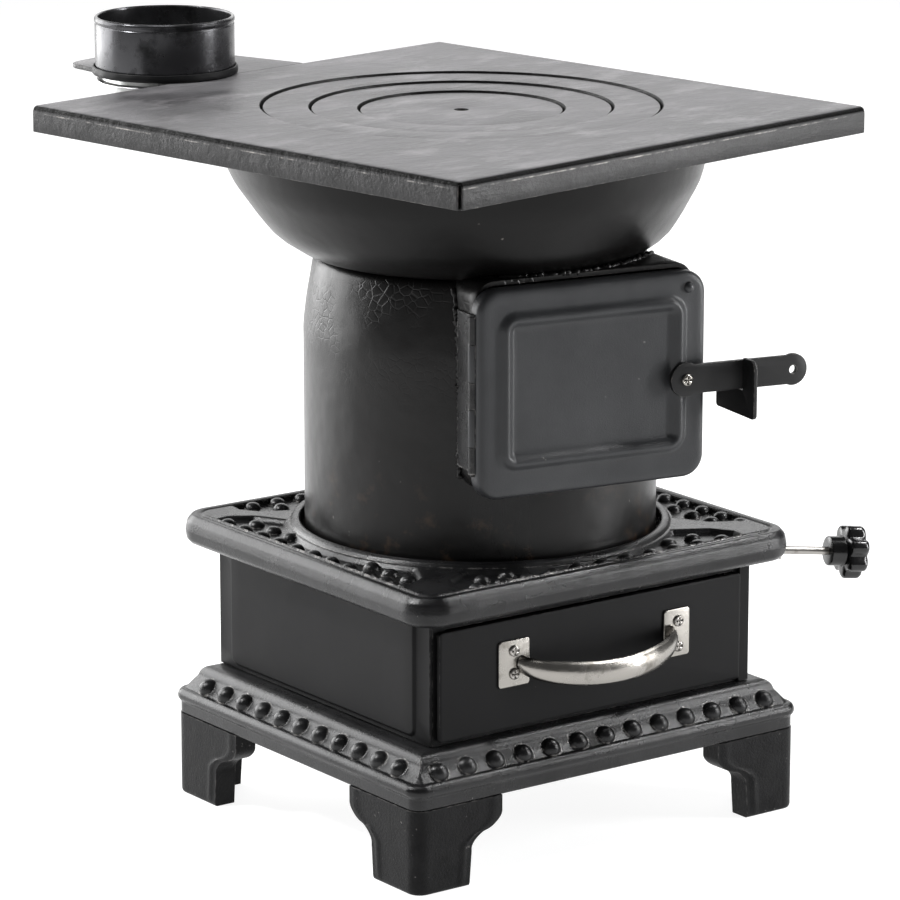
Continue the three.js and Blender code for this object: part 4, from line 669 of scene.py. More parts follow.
# base casting with its beaded band
base = {
    "outline": {"x": (-180.2, 180.2), "y": (-165.0, 153.4), "radius": 11.0},
    "profile": [(0.4, 64.5), (0.4, 73.4), (-0.4, 74.4), (-1.9, 76.4), (-2.2, 79.0), (-1.2, 81.8), (1.2, 83.9),
                (3.4, 83.9), (5.0, 85.4), (9.0, 89.2), (13.0, 94.0), (13.6, 96.4), (15.0, 99.0), (17.4, 101.0),
                (21, 102), (46, 102), (46, 97), (22, 96.5), (16, 90.5), (7, 80.5), (5, 75.5), (5, 64.5)],
    "bead": [(8.9, -1.2), (8.6, 0.0), (7.9, 0.15), (7.5, 0.7), (7.0, 1.8), (6.1, 3.2), (4.9, 4.5), (3.3, 5.5),
             (1.6, 6.0), (0.3, 6.1)],
    "frontCount": 13, "sideCount": 11, "frontMargin": 53.0, "sideMargin": 66.0,
    "bandSlope": (12.0, 11.5), "beadInset": 8.6, "beadLevel": 89.0,
}


def baseBeads():
    # Beads at an even pitch along the sloped band, each square to the slope.
    parts = []
    run, rise = base["bandSlope"]
    slope = np.array([0.0, -run, rise]) / math.hypot(run, rise)
    middle = np.array([0.0, (base["outline"]["y"][0] + base["outline"]["y"][1]) / 2, 0.0])
    depth = base["outline"]["y"][1] - base["outline"]["y"][0]
    length = base["outline"]["x"][1] - base["outline"]["x"][0]
    bead = dome(base["bead"])
    for quarter, (count, span, distance) in enumerate([
        (base["frontCount"], length - base["frontMargin"], depth / 2),
        (base["sideCount"], depth - base["sideMargin"], length / 2),
    ] * 2):
        angle = -quarter * math.pi / 2
        for k in range(count):
            along = (k / (count - 1) - 0.5) * span
            place = np.array([[along, base["beadInset"] - distance, base["beadLevel"]]])
            outward = turnedBy(slope[None], angle)[0]
            parts.append(carried(bead, turnedBy(place, angle)[0] + middle, outward))
    return parts


baseBody = moulding(base["outline"], softened(base["profile"], 1.3), closed=True)
addPiece("baseCasting", merged(baseBody, *baseBeads()), castIron, "stove_body", ["base_casting"])

# feet
foot = {
    "wall": 18.0, "wide": (78.0, 84.0), "narrow": (48.0, 54.0), "radius": 11.0, "top": 64.45,
    "ogeeBelow": 12.0, "ogeeHeight": 24.0, "rounding": 2.2, "columns": 48,
    "line": 1.1, "lineInset": 7.5, "lineWidth": 2.2,
    "tieX": 139.5, "tieY": (-128.5, 124.5), "web": [(0, 55.5), (0, 60.5)],
    "pillar": [(3.3, 56), (6, 56), (6, 96.2), (3.3, 96.2)],
    "sole": [0, 0.4, 1.0, 1.8, 3.0],
}


def footPiece(sideX, sideY):
    # The corner path (straight, arc, straight) between two ogee edges, carried up from floor to skirt.
    # Below the skirt the width eases from wide to narrow, partly by smoothstep and partly by two arcs, and
    # loses 2 mm more down to the floor. A raised line follows the edge.
    z = np.concatenate([
        foot["sole"], np.linspace(6, 26, 6), np.linspace(27.5, 53, 22), np.linspace(55, foot["top"], 4),
    ])
    share = np.clip((foot["top"] - foot["ogeeBelow"] - z) / foot["ogeeHeight"], 0, 1)
    half = np.minimum(share, 1 - share) * 2
    rounder = np.where(share < 0.5, 0.5 - 0.5 * np.sqrt(1 - half**2), 0.5 + 0.5 * np.sqrt(1 - half**2))
    ease = 0.55 * share**2 * (3 - 2 * share) + 0.45 * rounder
    softFoot = foot["rounding"] * (1 - np.sqrt(1 - np.clip(1 - z / 3.2, 0, 1) ** 2))[:, None]

    def widthAt(which):
        wide, narrow = foot["wide"][which], foot["narrow"][which]
        return wide - (wide - narrow - 2) * ease - 2 * np.clip(1 - z / 26, 0, 1)

    columns, r = foot["columns"], foot["radius"]
    s = np.linspace(0, 1, columns)
    arc = r * np.pi / 2
    widthX, widthY = widthAt(0)[:, None], widthAt(1)[:, None]
    total = (widthX - r) + arc + (widthY - r)
    run = s[None] * total
    onX = run < widthX - r
    onArc = ~onX & (run < widthX - r + arc)
    angle = np.clip((run - (widthX - r)) / r, 0, np.pi / 2)
    edgeGap = np.minimum(run, total - run)
    fromLine = (edgeGap - foot["lineInset"]) / foot["lineWidth"]
    line = foot["line"] * np.exp(-(fromLine**2)) * np.clip(z / 8, 0, 1)[:, None]

    def path(offset):
        # Corner at (0, 0), foot along +x and +y, offset is how far inside the outer face.
        x = np.where(onX, widthX - run, np.where(onArc, r - r * np.sin(angle), 0.0))
        y = np.where(onX, 0.0, np.where(onArc, r - r * np.cos(angle), run - (widthX - r + arc) + r))
        nx = np.where(onX, 0.0, np.where(onArc, np.sin(angle), 1.0))
        ny = np.where(onX, 1.0, np.where(onArc, np.cos(angle), 0.0))
        return np.stack([x + nx * offset, y + ny * offset, np.repeat(z[:, None], columns, 1)], -1)

    outer = path(softFoot - line)
    inner = path(np.full_like(line, foot["wall"]))[:, ::-1]
    grid = np.concatenate([outer, inner], axis=1)
    points, faces = surface(grid, caps=True)
    x0, y0 = base["outline"]["x"][sideX > 0], base["outline"]["y"][sideY > 0]
    points = points.copy()
    points[:, 0] = x0 - sideX * points[:, 0]
    points[:, 1] = y0 - sideY * points[:, 1]
    if sideX * sideY < 0:
        faces = [f[::-1] for f in faces]
    tieX, tieY = sideX * foot["tieX"], foot["tieY"][sideY > 0]
    webX, webY = (x0 - sideX * 4, tieX - sideX * 9), (y0 - sideY * 4, tieY - sideY * 9)
    web = {"x": sorted(webX), "y": sorted(webY), "radius": 3.0}
    webPart = moulding(web, foot["web"], perCorner=3)
    pillar = lathe(softened(foot["pillar"], 0.4), 24, (tieX, tieY))
    return merged((points, faces), webPart, pillar)


footSides = {"front_left": (-1, -1), "front_right": (1, -1), "back_left": (-1, 1), "back_right": (1, 1)}
for footName, (sideX, sideY) in footSides.items():
    footNode = "foot_" + footName
    footPart = footPiece(sideX, sideY)
    # The feet take the darker copy of the iron: painted shade.
    addPiece(footNode + "_cast", footPart, shadedFootIron, "stove_body", [footNode], smooth=45)

print("base and feet are in place")

# top casting: rolled rim, sunk beaded panels, raised ring round the drum
casting = {
    "outline": {"x": (-177.0, 177.0), "y": (-169.3, 159.0), "radius": 26.0},
    "ringOuter": 145.0, "fieldFrom": 146.3, "sink": 4.0, "edge": 4.2, "rim": 12.0,
    "rows": 64, "perCorner": 40, "perSide": 120,
    "bead": [(6.9, -1.0), (6.6, 0.1), (6.3, 1.0), (5.7, 2.5), (4.6, 3.8), (3.1, 4.6), (1.4, 5.0), (0.3, 5.05)],
    "pitch": 23.0, "beadInset": 6.8, "rowGap": 15.5, "beadClear": 4.8,
    "ringProfile": [(126.2, 203.0), (126.2, 207.3), (137.7, 207.3), (137.7, 224.6), (138.6, 225.9), (140.4, 226.4),
                    (142.4, 226.0), (144.2, 224.7), (145.6, 222.5)],
    "rimProfile": [(14.5, 222.5), (12.5, 220.4), (9.5, 222.2), (5.5, 222.5), (1.4, 217.7), (0, 210.2), (1, 203.7),
                   (4.1, 200.2), (9.5, 200.2), (9.5, 213.2)],
    "under": [(145.7, 213.2), (142.7, 203.0)],
    "fieldClear": 1.5, "fieldShorter": 46, "fieldReach": (30, 40), "fieldGap": 3,
    "fieldEnd": [(0, 0), (2, -14), (-8, -31)],
}


def fieldOutline(halfLength, distance):
    # The sunk field of one side, drawn along +Y: straight outer edge, ogee ends, inner arc along the ring.
    edge = distance - casting["rim"]
    inner = casting["ringOuter"] + casting["fieldClear"]
    reachX, reachY = casting["fieldReach"]
    lastAngle = math.atan2(halfLength - reachX, edge - reachY)
    angle = lastAngle * (1 - 2 * np.linspace(0, 1, 25))
    arc = np.stack([inner * np.sin(angle), np.minimum(inner * np.cos(angle), edge - casting["fieldGap"])], -1)
    end = np.array([[halfLength + x, edge + y] for x, y in casting["fieldEnd"]])
    return np.concatenate([end, arc, (end * [-1, 1])[::-1]])


def insideDistance(points, polygon):
    # Distance to the polygon's edge, positive inside: nearest point on every edge, sign by crossings.
    a, b = polygon, np.roll(polygon, -1, axis=0)
    way = b - a
    t = np.clip(((points[:, None] - a) * way).sum(-1) / (way**2).sum(-1), 0, 1)
    near = np.linalg.norm(points[:, None] - (a + t[..., None] * way), axis=-1).min(1)
    above = (a[None, :, 1] > points[:, 1:2]) != (b[None, :, 1] > points[:, 1:2])
    span = np.where(b[:, 1] == a[:, 1], 1e-9, b[:, 1] - a[:, 1])
    crossing = points[:, :1] < (b[:, 0] - a[:, 0]) * (points[:, 1:2] - a[:, 1]) / span + a[:, 0]
    return np.where((above & crossing).sum(1) % 2 == 1, near, -near)


# One row for each side: its turn, distance from the axis, length, and how far its beads are shifted.
castingSides = [
    (0.0, casting["outline"]["y"][1], 354.0, 0.0),
    (math.pi, -casting["outline"]["y"][0], 354.0, 0.0),
    (-math.pi / 2, casting["outline"]["x"][1], 328.3, 5.0),
    (math.pi / 2, -casting["outline"]["x"][0], 328.3, -5.0),
]


def castingPlate():
    # Loops that pass from the ring's circle to the rim's rounded rectangle; the level drops by
    # sink * smoothstep(distance inside a field / edge).
    out = casting["outline"]
    rimProfile = softened(casting["rimProfile"], 1.4, closed=False)

    def rimLoop(inset):
        return roundedLoop(out, inset, casting["perCorner"], casting["perSide"])

    loop = rimLoop(rimProfile[0][0])
    angle = np.arctan2(loop[:, 1], loop[:, 0])
    circle = np.stack([np.cos(angle), np.sin(angle)], -1)
    ring = [atLevel(circle * r, level) for r, level in softened(casting["ringProfile"], 0.7, closed=False)]
    start, end = circle * casting["fieldFrom"], loop
    field = []
    shorter = casting["fieldShorter"]
    polygons = [(turn, fieldOutline(length / 2 - shorter, distance)) for turn, distance, length, _ in castingSides]
    for share in np.linspace(0, 1, casting["rows"]):
        flat = start * (1 - share) + end * share
        drop = np.zeros(len(flat))
        for turn, polygon in polygons:
            local = turnedBy(atLevel(flat, 0), -turn)[:, :2]
            inside = np.clip(insideDistance(local, polygon) / casting["edge"], 0, 1)
            drop = np.maximum(drop, inside**2 * (3 - 2 * inside))
        row = atLevel(flat, castingTop)
        row[:, 2] -= casting["sink"] * drop
        field.append(row)
    rim = [atLevel(rimLoop(inset), level) for inset, level in rimProfile[1:]]
    under = [atLevel(circle * r, level) for r, level in casting["under"]]
    return surface(np.stack(ring + field + rim + under), closeRows=True)


def castingBeads():
    # An outer row of eleven beads on each side and three more behind it at each end, clear of the ring.
    parts = []
    bead = dome(casting["bead"])
    for turn, distance, _, shift in castingSides:
        row = distance - casting["rim"] - casting["beadInset"]
        x = np.concatenate([np.arange(-5, 6), np.arange(2.3, 5), -np.arange(2.3, 5)]) * casting["pitch"] + shift
        y = np.where(np.arange(len(x)) < 11, row, row - casting["rowGap"])
        places = np.stack([x, y, np.full(len(x), castingTop - casting["sink"])], -1)
        places = places[np.hypot(x, y) > casting["ringOuter"] + casting["beadClear"]]
        parts += [carried(bead, place) for place in turnedBy(places, turn)]
    return parts


topCasting = merged(castingPlate(), *castingBeads())
addPiece("topCasting", topCasting, castIron, "stove_body", ["top_casting"], smooth=50)
print("top casting is in place")

# ash box
box = {
    "halfWidth": 151.5, "y": (-139.5, 135.5), "foot": 102.3, "head": 213.2,
    "panel": (106.0, 196.2), "proud": 2.0, "sheet": 2.5, "strip": 17.5,
    "jamb": {"x": (139.6, 149.3), "y": (102.3, 206.2), "radius": 0.8},
    "jambLevels": [(0, 139.3), (0, 142.1), (0.4, 142.5)],
    "panelCorner": 7.0, "press": [(0.5, 0.6), (1.3, 0.1), (2.2, 0.0), (14.0, 0.0), (40.0, 0.25)],
}


def boxSide(side):
    # Sheet with a pressed panel: loops of the sheet's outline pass to the panel's, which stands further out.
    sheetOutline = {"x": box["y"], "y": (box["foot"], box["head"]), "radius": 0.6}
    panel = {"x": (box["y"][0] + box["strip"], box["y"][1] - box["strip"]), "y": box["panel"]}
    panel["radius"] = box["panelCorner"]
    face, back = box["proud"], box["proud"] + box["sheet"]
    edge = [(1.0, back), (0.0, back - 0.4), (0.0, face + 0.4), (0.5, face)]
    pressed = [(-1.0, face), (-0.4, face - 0.2), *box["press"]]
    rows = [(sheetOutline, *pair) for pair in edge] + [(panel, *pair) for pair in pressed]
    grid = np.stack([atLevel(roundedLoop(outline, inset, 6, 8), depth) for outline, inset, depth in rows])
    points, faces = surface(grid, caps=True)
    x = side * (box["halfWidth"] - points[:, 2])
    part = (np.stack([x, points[:, 0], points[:, 1]], -1), faces)
    if side > 0:
        part = (part[0], [f[::-1] for f in faces])
        part = merged(part, onFront(moulding(box["jamb"], box["jambLevels"], perCorner=3)))
    return part


addPiece("boxSideLeft", boxSide(-1), sheetPaint, "stove_body", ["box_side_left"])
addPiece("boxSideRight", boxSide(1), sheetPaint, "stove_body", ["box_side_right"])

# drawer front and its pull
drawer = {
    "outline": {"x": (-144.5, 139.0), "y": (105.5, 189.0), "radius": 3.0},
    "profile": [(0.4, 141.0), (0, 141.5), (0, 143.6), (0.4, 144.5), (1.2, 144.9), (2.4, 145.0)],
}
drawerFront = onFront(moulding(drawer["outline"], drawer["profile"], perCorner=6))
addPiece("drawerFront", drawerFront, sheetPaint, "ash_drawer", ["drawer_front"])

pull = {
    "plates": [{"x": (-91.8, -63.5), "y": (138.0, 173.7), "radius": 2.5},
               {"x": (63.2, 87.7), "y": (134.3, 171.8), "radius": 2.5}],
    "screws": [(-78.1, 165.5), (-78.1, 147.9), (76.4, 162.3), (76.4, 142.6)],
    "ends": [(-70.5, 154.35), (68.2, 153.55)],
    "face": 145.3, "sheet": 1.5, "reach": 31.0, "width": 18.5, "droop": 9.5, "crown": 5.4, "thick": 2.2,
    "fullness": 0.55, "narrowing": 0.24, "hollow": 0.86, "footGap": 0.6,
}


def pullBow():
    # Half-round strap: its middle line swells as sin(pi s)^fullness, its cross-section is an arch, hollow behind.
    s = np.linspace(0, 1, 72)
    swell = np.sin(np.pi * s) ** pull["fullness"]
    (x0, z0), (x1, z1) = pull["ends"]
    x = x0 + (x1 - x0) * s
    depth = pull["face"] + pull["footGap"] + (pull["reach"] - pull["sheet"]) * swell
    z = z0 + (z1 - z0) * s - pull["droop"] * swell
    slope = np.gradient(depth, x)
    nx, nd = -slope / np.hypot(slope, 1), 1 / np.hypot(slope, 1)
    across = np.linspace(-1, 1, 17)
    arch = pull["crown"] * np.sqrt(1 - 0.98 * across**2)
    back = pull["crown"] * np.sqrt(1 - (pull["hollow"] * across) ** 2) - pull["thick"]
    height = np.concatenate([arch, back[::-1]])
    wide = np.concatenate([across, pull["hollow"] * across[::-1]]) * pull["width"] / 2
    narrow = 1 - pull["narrowing"] * (1 - swell) ** 1.5
    grid = np.stack([
        x[:, None] + nx[:, None] * height,
        z[:, None] + wide[None] * narrow[:, None],
        np.maximum(depth[:, None] + nd[:, None] * height, pull["face"]),
    ], -1)
    return onFront(surface(grid, caps=True))


def pullPlate(outline):
    # Screw plate at an end of the pull, its front edge softly rounded.
    face, sheet = pull["face"], pull["sheet"]
    rows = [(0.2, face), (0, face + 0.3), (0, face + 0.9), (0.35, face + 1.35), (1.0, face + sheet)]
    return onFront(moulding(outline, rows, perCorner=6))


pullPart = merged(*[pullPlate(outline) for outline in pull["plates"]], pullBow())
addPiece("drawerPull", pullPart, nickelPlate, "ash_drawer", ["drawer_handle"], smooth=50)


def screwHead(x, z, depth, radius, rise):
    # Pan head with a cross recess drawn as four pressed slots on a domed disc.
    angle = np.arange(32) * 2 * np.pi / 32
    rows = []
    for share, level in [(1.0, 0.0), (1.0, 0.35), (0.93, 0.7), (0.75, 0.92), (0.5, 1.0), (0.3, 1.0), (0.16, 0.86)]:
        r = radius * share
        cross = np.abs(np.cos(2 * angle)) ** 6 * (share < 0.55) * 0.95
        rows.append(np.stack([x + r * np.cos(angle), z + r * np.sin(angle), depth + rise * (level - cross)], -1))
    flatShank = np.stack([x + 1.9 * np.cos(angle), z + 1.9 * np.sin(angle)], -1)
    return surface(np.stack([atLevel(flatShank, depth - 6.5), atLevel(flatShank, depth)] + rows), caps=True)


for number, (x, z) in enumerate(pull["screws"], 1):
    head = onFront(screwHead(x, z, pull["face"] + 1.6, 4.4, 2.0))
    screwNode = "handle_screw_" + str(number)
    addPiece("pullScrew" + str(number), head, bareSteel, "ash_drawer", [screwNode])
print("ash box and drawer are in place")

# drum
drum = {
    "radius": 134.0, "wall": 3.0, "foot": 207.6, "shoulderFrom": 166.7, "shoulderHeight": 49, "shoulderFall": 6.5,
    "turnIn": [(126.6, 427.4), (125.2, 430.1), (123.4, 431.8), (121.4, 432.6), (119.5, 432.8)],
    "innerTurn": [(118.8, 429.6), (122.4, 427.2), (124.4, 423.4), (127.6, 405.0), (131.0, 374.0)],
    "doorway": {"x": (-73.6, 106.0), "y": (280.0, 423.7), "radius": 12.0},
}


def drumShape():
    # Straight sheet with a shoulder that falls in by shoulderFall * share^1.3 and turns in to the bowl,
    # and a little uneven all over, more towards the top.
    share = np.linspace(0, 1, 9)
    shoulder = drum["foot"] + drum["shoulderFrom"] + drum["shoulderHeight"] * share
    side = np.stack([drum["radius"] - drum["shoulderFall"] * share**1.3, shoulder], -1)
    body = np.stack([np.full(26, drum["radius"]), np.linspace(drum["foot"], drum["foot"] + 160, 26)], -1)
    innerFoot = [(drum["radius"] - drum["wall"], drum["foot"])]
    points, faces = lathe(np.concatenate([body, side, drum["turnIn"], drum["innerTurn"], innerFoot]), 192)
    radial = np.hypot(points[:, 0], points[:, 1])
    upper = np.clip((points[:, 2] - 330) / 90, 0.25, 1)
    uneven = 1 + (waves(points, 3, 70, 0.9) + waves(points, 5, 26, 0.35)) * upper / radial * (radial > 119)
    return points * np.stack([uneven, uneven, np.ones(len(uneven))], -1), faces


doorway = onDoor(moulding(drum["doorway"], [(3.5, 40), (3.5, 150)], perCorner=6))
drumPiece = addPiece("drumSheet", drumShape(), drumPaint, "stove_body", ["drum"], smooth=50)
cutPiece(drumPiece, doorway, smooth=50)

# bowl under the cooking top
bowl = {
    "flare": [(121.5, 0.6), (126.6, 1.6), (132.6, 4.6), (144.8, 12.9), (151.0, 18.6), (155.6, 24.6), (161.4, 33.0),
              (167.3, 42.5), (172.4, 50.6), (175.4, 56.0), (178.6, 64.0), (181.5, 74.0), (184.8, 86.0),
              (187.5, 98.7)],
    "spigot": [(109.6, -12), (112.6, -12), (112.6, 0.3)], "lip": [(150.0, 99.0), (150.0, 96.0)],
    "wall": 3.0, "leanAtFoot": 0.384,
}


def bowlShape():
    # Flare carried round the axis; each level moves sideways with its height, as the top leans over.
    outside = np.array(bowl["flare"])
    way = np.gradient(outside, axis=0)
    way /= np.linalg.norm(way, axis=1, keepdims=True)
    inside = outside + np.stack([-way[:, 1], way[:, 0]], -1) * bowl["wall"]
    inside[-1, 1], inside[0, 1] = 96.0, 3.3
    profile = np.concatenate([bowl["spigot"], outside, bowl["lip"], inside[::-1], [(109.6, 3.3)]])
    points, faces = lathe(profile, 192)
    share = bowl["leanAtFoot"] + (1 - bowl["leanAtFoot"]) * points[:, 2] / 99
    points[:, 0] += topShift[0] * share
    points[:, 1] += topShift[1] * share
    points[:, 2] += bowlFoot
    return points, faces


addPiece("bowlSheet", bowlShape(), bowlPaint, "stove_body", ["bowl"], smooth=45)
print("drum and bowl are in place")

# cooking top, in its own turned frame with z = 0 on its face
top = {
    "outline": {"x": (-230.0, 204.6), "y": (-223.2, 225.5), "radius": 4.2},
    "slit": 5.0,
    "tongue": [(-95.4, 221.6), (49.0, 221.6), (49.0, 225.5), (23.0, 366.0), (19.0, 368.0), (13.0, 367.4),
               (-69.0, 356.5), (-77.0, 353.0), (-80.6, 347.0), (-95.4, 225.5)],
    "bend": [(0.3, -20), (0, -19.6), (0, -12), (0, -5.0), (0.3, -3.5), (0.9, -2.2), (1.8, -1.2), (3.1, -0.4),
             (4.8, 0)],
    "seat": [(152.4, 0), (150.9, -0.1), (150.9, -6.8), (143.0, -6.8), (143.0, -10.8), (164.9, -10.8),
             (164.9, -4.2)],
    "under": [(2.6, -4.2), (2.6, -12), (2.6, -19.6), (1.6, -20)],
    "flue": (-57.8, 265.6), "flueHole": 48.8,
}


def cookingTop():
    # Loops of the sheet's outline: up the skirt, round the bend, then straight lines in to the rings' seat.
    # At each corner the skirt's middle points draw in, as the open slit between two turned-down edges.
    corner, side = 16, 22

    def loop(inset, level):
        flat = roundedLoop(top["outline"], inset, corner, side)
        if level < -2.5:
            place = np.arange(len(flat)) % (corner + side)
            slit = np.exp(-(((place - corner / 2) / 1.7) ** 2))
            flat = flat - flat / np.linalg.norm(flat, axis=1, keepdims=True) * (top["slit"] * slit)[:, None]
        return atLevel(flat, level)

    outer = [loop(inset, level) for inset, level in top["bend"]]
    edge = outer[-1][:, :2]
    angle = np.arctan2(edge[:, 1], edge[:, 0])
    circle = np.stack([np.cos(angle), np.sin(angle)], -1)
    seatEdge = circle * top["seat"][0][0]
    flats = [atLevel(edge * (1 - t) + seatEdge * t, 0) for t in np.linspace(0, 1, 26)[1:-1]]
    seats = [atLevel(circle * r, level) for r, level in softened(top["seat"], 0.5, closed=False)]
    under = [loop(inset, level) for inset, level in top["under"]]
    return surface(np.stack(outer + flats + seats + under), closeRows=True)


def roundTool(centre, radius, levels):
    return onTop(lathe([(radius, levels[0]), (radius, levels[1])], 96, centre, closed=False))


topPart = onTop(cookingTop())
topPiece = addPiece("cookingTop", topPart, topSteel, "stove_body", ["cooking_plate"], smooth=40)
tonguePart = onTop(slabFrom(softened(top["tongue"], 3.0), (-3.6, -0.05), 0.5))
tonguePiece = addPiece("flueTongue", tonguePart, topSteel, "stove_body", smooth=40)
for piece in (topPiece, tonguePiece):
    cutPiece(piece, roundTool(top["flue"], top["flueHole"], (-9, 3)), smooth=40)

rings = {
    "large_ring": {"piece": "largeRing", "profile": [
        (148.6, -1.5), (148.6, -6.5), (119.4, -6.5), (119.4, -11.7), (107.4, -11.7), (107.4, -8.3), (114.4, -8.3),
        (114.4, -1.5)]},
    "small_ring": {"piece": "smallRing", "profile": [
        (112.2, -3.0), (112.2, -8.0), (82.9, -8.0), (82.9, -13.2), (70.9, -13.2), (70.9, -9.8), (77.9, -9.8),
        (77.9, -3.0)]},
    "lid": {"piece": "middleLid", "profile": [(75.7, -4.5), (75.7, -9.5), (5.35, -9.5), (5.35, -4.5)]},
}
for node, ring in rings.items():
    ringPart = onTop(lathe(softened(ring["profile"], 0.45), 160))
    addPiece(ring["piece"], ringPart, topSteel, node + "_piece", [node], smooth=40)

# flue: elbow under the tongue, collar on it
collar = {
    "profile": [(51.5, 0.3), (54.2, 0.3), (54.2, 38.6), (53.7, 39.2), (53.7, 40.0), (54.4, 40.8), (54.6, 42.6),
                (54.0, 44.2), (52.9, 45.0), (51.8, 44.6), (51.5, 43.4)],
    "seal": [(54.8, 0.3), (56.6, 0.3), (57.0, 3.0), (56.1, 6.3), (54.8, 6.3)],
}
collarPart = onTop(lathe(softened(collar["profile"], 0.5), 160, top["flue"]))
addPiece("flueCollar", collarPart, collarSteel, "stove_body", ["flue_collar"], smooth=45)


def sealRing():
    # Fire putty pressed round the collar's foot: a half-round ring with a finger-made unevenness.
    points, faces = lathe(softened(collar["seal"], 0.8), 160, top["flue"])
    away = points - np.array([*top["flue"], 0])
    away[:, 2] = 0
    reach = np.linalg.norm(away, axis=1, keepdims=True)
    bulge = np.clip((reach - 54.9) / 2, 0, 1)[:, 0] * waves(points, 11, 14, 0.5)
    return points + away / reach * bulge[:, None], faces


addPiece("collarSeal", onTop(sealRing()), sheetPaint, "stove_body", ["collar_seal"], smooth=60)

elbow = {
    "radius": 48.5, "wall": 2.0, "bottom": -50.0, "flange": 53.5, "flangeLevels": (-11, -4.3), "rim": 12,
    "ductHalf": 40.0, "ductRoof": -12.1, "ductReach": (171.0, 222.0),
}


def smokeElbow():
    # A pot under the tongue, closed below, and a flat duct from it towards the bowl.
    r, w, low, rim = elbow["radius"], elbow["wall"], elbow["bottom"], elbow["rim"]
    flange, (under, over) = elbow["flange"], elbow["flangeLevels"]
    profile = [(0.5, low), (r, low), (r, under), (flange, under), (flange, over), (r, over), (r, rim),
               (r - w, rim), (r - w, low + w), (0.5, low + w)]
    pot = lathe(softened(profile, 0.8), 128, top["flue"])
    way = np.array(top["flue"]) / np.hypot(*top["flue"])
    side = np.array([-way[1], way[0]])
    section = {"x": (-elbow["ductHalf"], elbow["ductHalf"]), "y": (low + 0.3, elbow["ductRoof"]), "radius": 4.0}
    start, end = elbow["ductReach"]
    rows = []
    for along, inset in [(start, 0), (end, 0), (end, w), (start, w)]:
        loop = roundedLoop(section, inset, 5, 1)
        rows.append(np.concatenate([way * along + side * loop[:, :1], loop[:, 1:]], axis=1))
    duct = surface(np.stack(rows), closeRows=True)
    return merged(pot, duct)


addPiece("smokeElbow", onTop(smokeElbow()), zincSheet, "stove_body", ["smoke_elbow"], smooth=40)
print("cooking top and flue are in place")

# fire door: neck, door, welds
door = {
    "outline": {"x": (-77.1, 111.6), "y": (277.5, 434.0), "radius": 17.0},
    "ridge": {"x": (-62.5, 95.5), "y": (297.0, 418.5), "radius": 16.0},
    "ridgeWidth": 15.0, "ridgeRise": 4.4, "panelSink": 0.9,
    "face": 149.0, "back": 137.0, "pivot": (90.7, 354.3), "rivet": (96.2, 422.0),
    "hinge": (-77.5, -140.3), "knuckles": [(318.4, 345.8), (366.6, 394.3)],
}
neck = {"outline": {"x": (-73.6, 106.0), "y": (280.0, 438.7), "radius": 15.0}, "front": 136.6, "wall": 3.5}


def bodyRadius(z):
    # Outer radius of drum and bowl at a level.
    flare = np.array(bowl["flare"])
    levels = np.concatenate([[200, 374.3, 381.6, 390, 409, 423.5, 431], flare[:, 1] + bowlFoot])
    radii = np.concatenate([[134, 134, 132.9, 132.0, 129.4, 127.5, 123.5], flare[:, 0]])
    return np.interp(z, levels, radii)


def bodyDepth(loop, sunk):
    # How far out of the door's plane through the axis the drum or bowl lies behind each point.
    r = bodyRadius(loop[:, 1]) - sunk
    return np.minimum(np.sqrt(np.maximum(r**2 - loop[:, 0] ** 2, 100.0)), neck["front"] - 3)


def neckShape():
    # Two rounded-rectangle loops at the door, and the same loops pushed back on to the drum.
    f, w = neck["front"], neck["wall"]
    outer, inner = roundedLoop(neck["outline"], 0, 10, 40), roundedLoop(neck["outline"], w, 10, 40)

    def row(loop, depth):
        return np.concatenate([loop, np.broadcast_to(depth, (len(loop),))[:, None]], axis=1)

    back, innerBack = bodyDepth(outer, 1.5), bodyDepth(inner, 2.0)
    rows = [row(outer, back)] + [row(outer, back * (1 - t) + (f - 0.6) * t) for t in (0.35, 0.7, 1.0)]
    rows += [row(roundedLoop(neck["outline"], 0.5, 10, 40), f), row(inner, f), row(inner, innerBack)]
    return onDoor(surface(np.stack(rows), closeRows=True))


addPiece("doorNeck", neckShape(), drumPaint, "stove_body", ["door_neck"], smooth=40)


def weldBead(loopPoints, radius, seed):
    # A run of weld: tube whose radius and place waver every few millimetres.
    dice = np.random.default_rng(seed)
    count = len(loopPoints)
    thick = radius * (1 + 0.28 * np.sin(np.arange(count) * 1.9) + 0.22 * dice.normal(size=count))
    path = loopPoints + dice.normal(size=(count, 3)) * 0.35
    return onDoor(tube(path, np.clip(thick, radius * 0.5, radius * 1.6), 10))


def weldRun(start, end, proud):
    # Points of a straight run in the door's flat drawing, laid on the drum or bowl behind it.
    run = np.linspace(start, end, 90)
    return atLevel(run, 0) + np.stack([np.zeros(90), np.zeros(90), bodyDepth(run, 0) + proud], -1)


# Left of the neck, then along its top: start, end, how proud it stands, radius, seed.
welds = [((-74.0, 288), (-74.0, 428), 0.8, 2.2, 7), ((-60, 438.4), (96, 438.4), 1.0, 1.9, 8)]
weldParts = [weldBead(weldRun(start, end, proud), radius, seed) for start, end, proud, radius, seed in welds]
addPiece("neckWelds", merged(*weldParts), drumPaint, "stove_body", smooth=70)


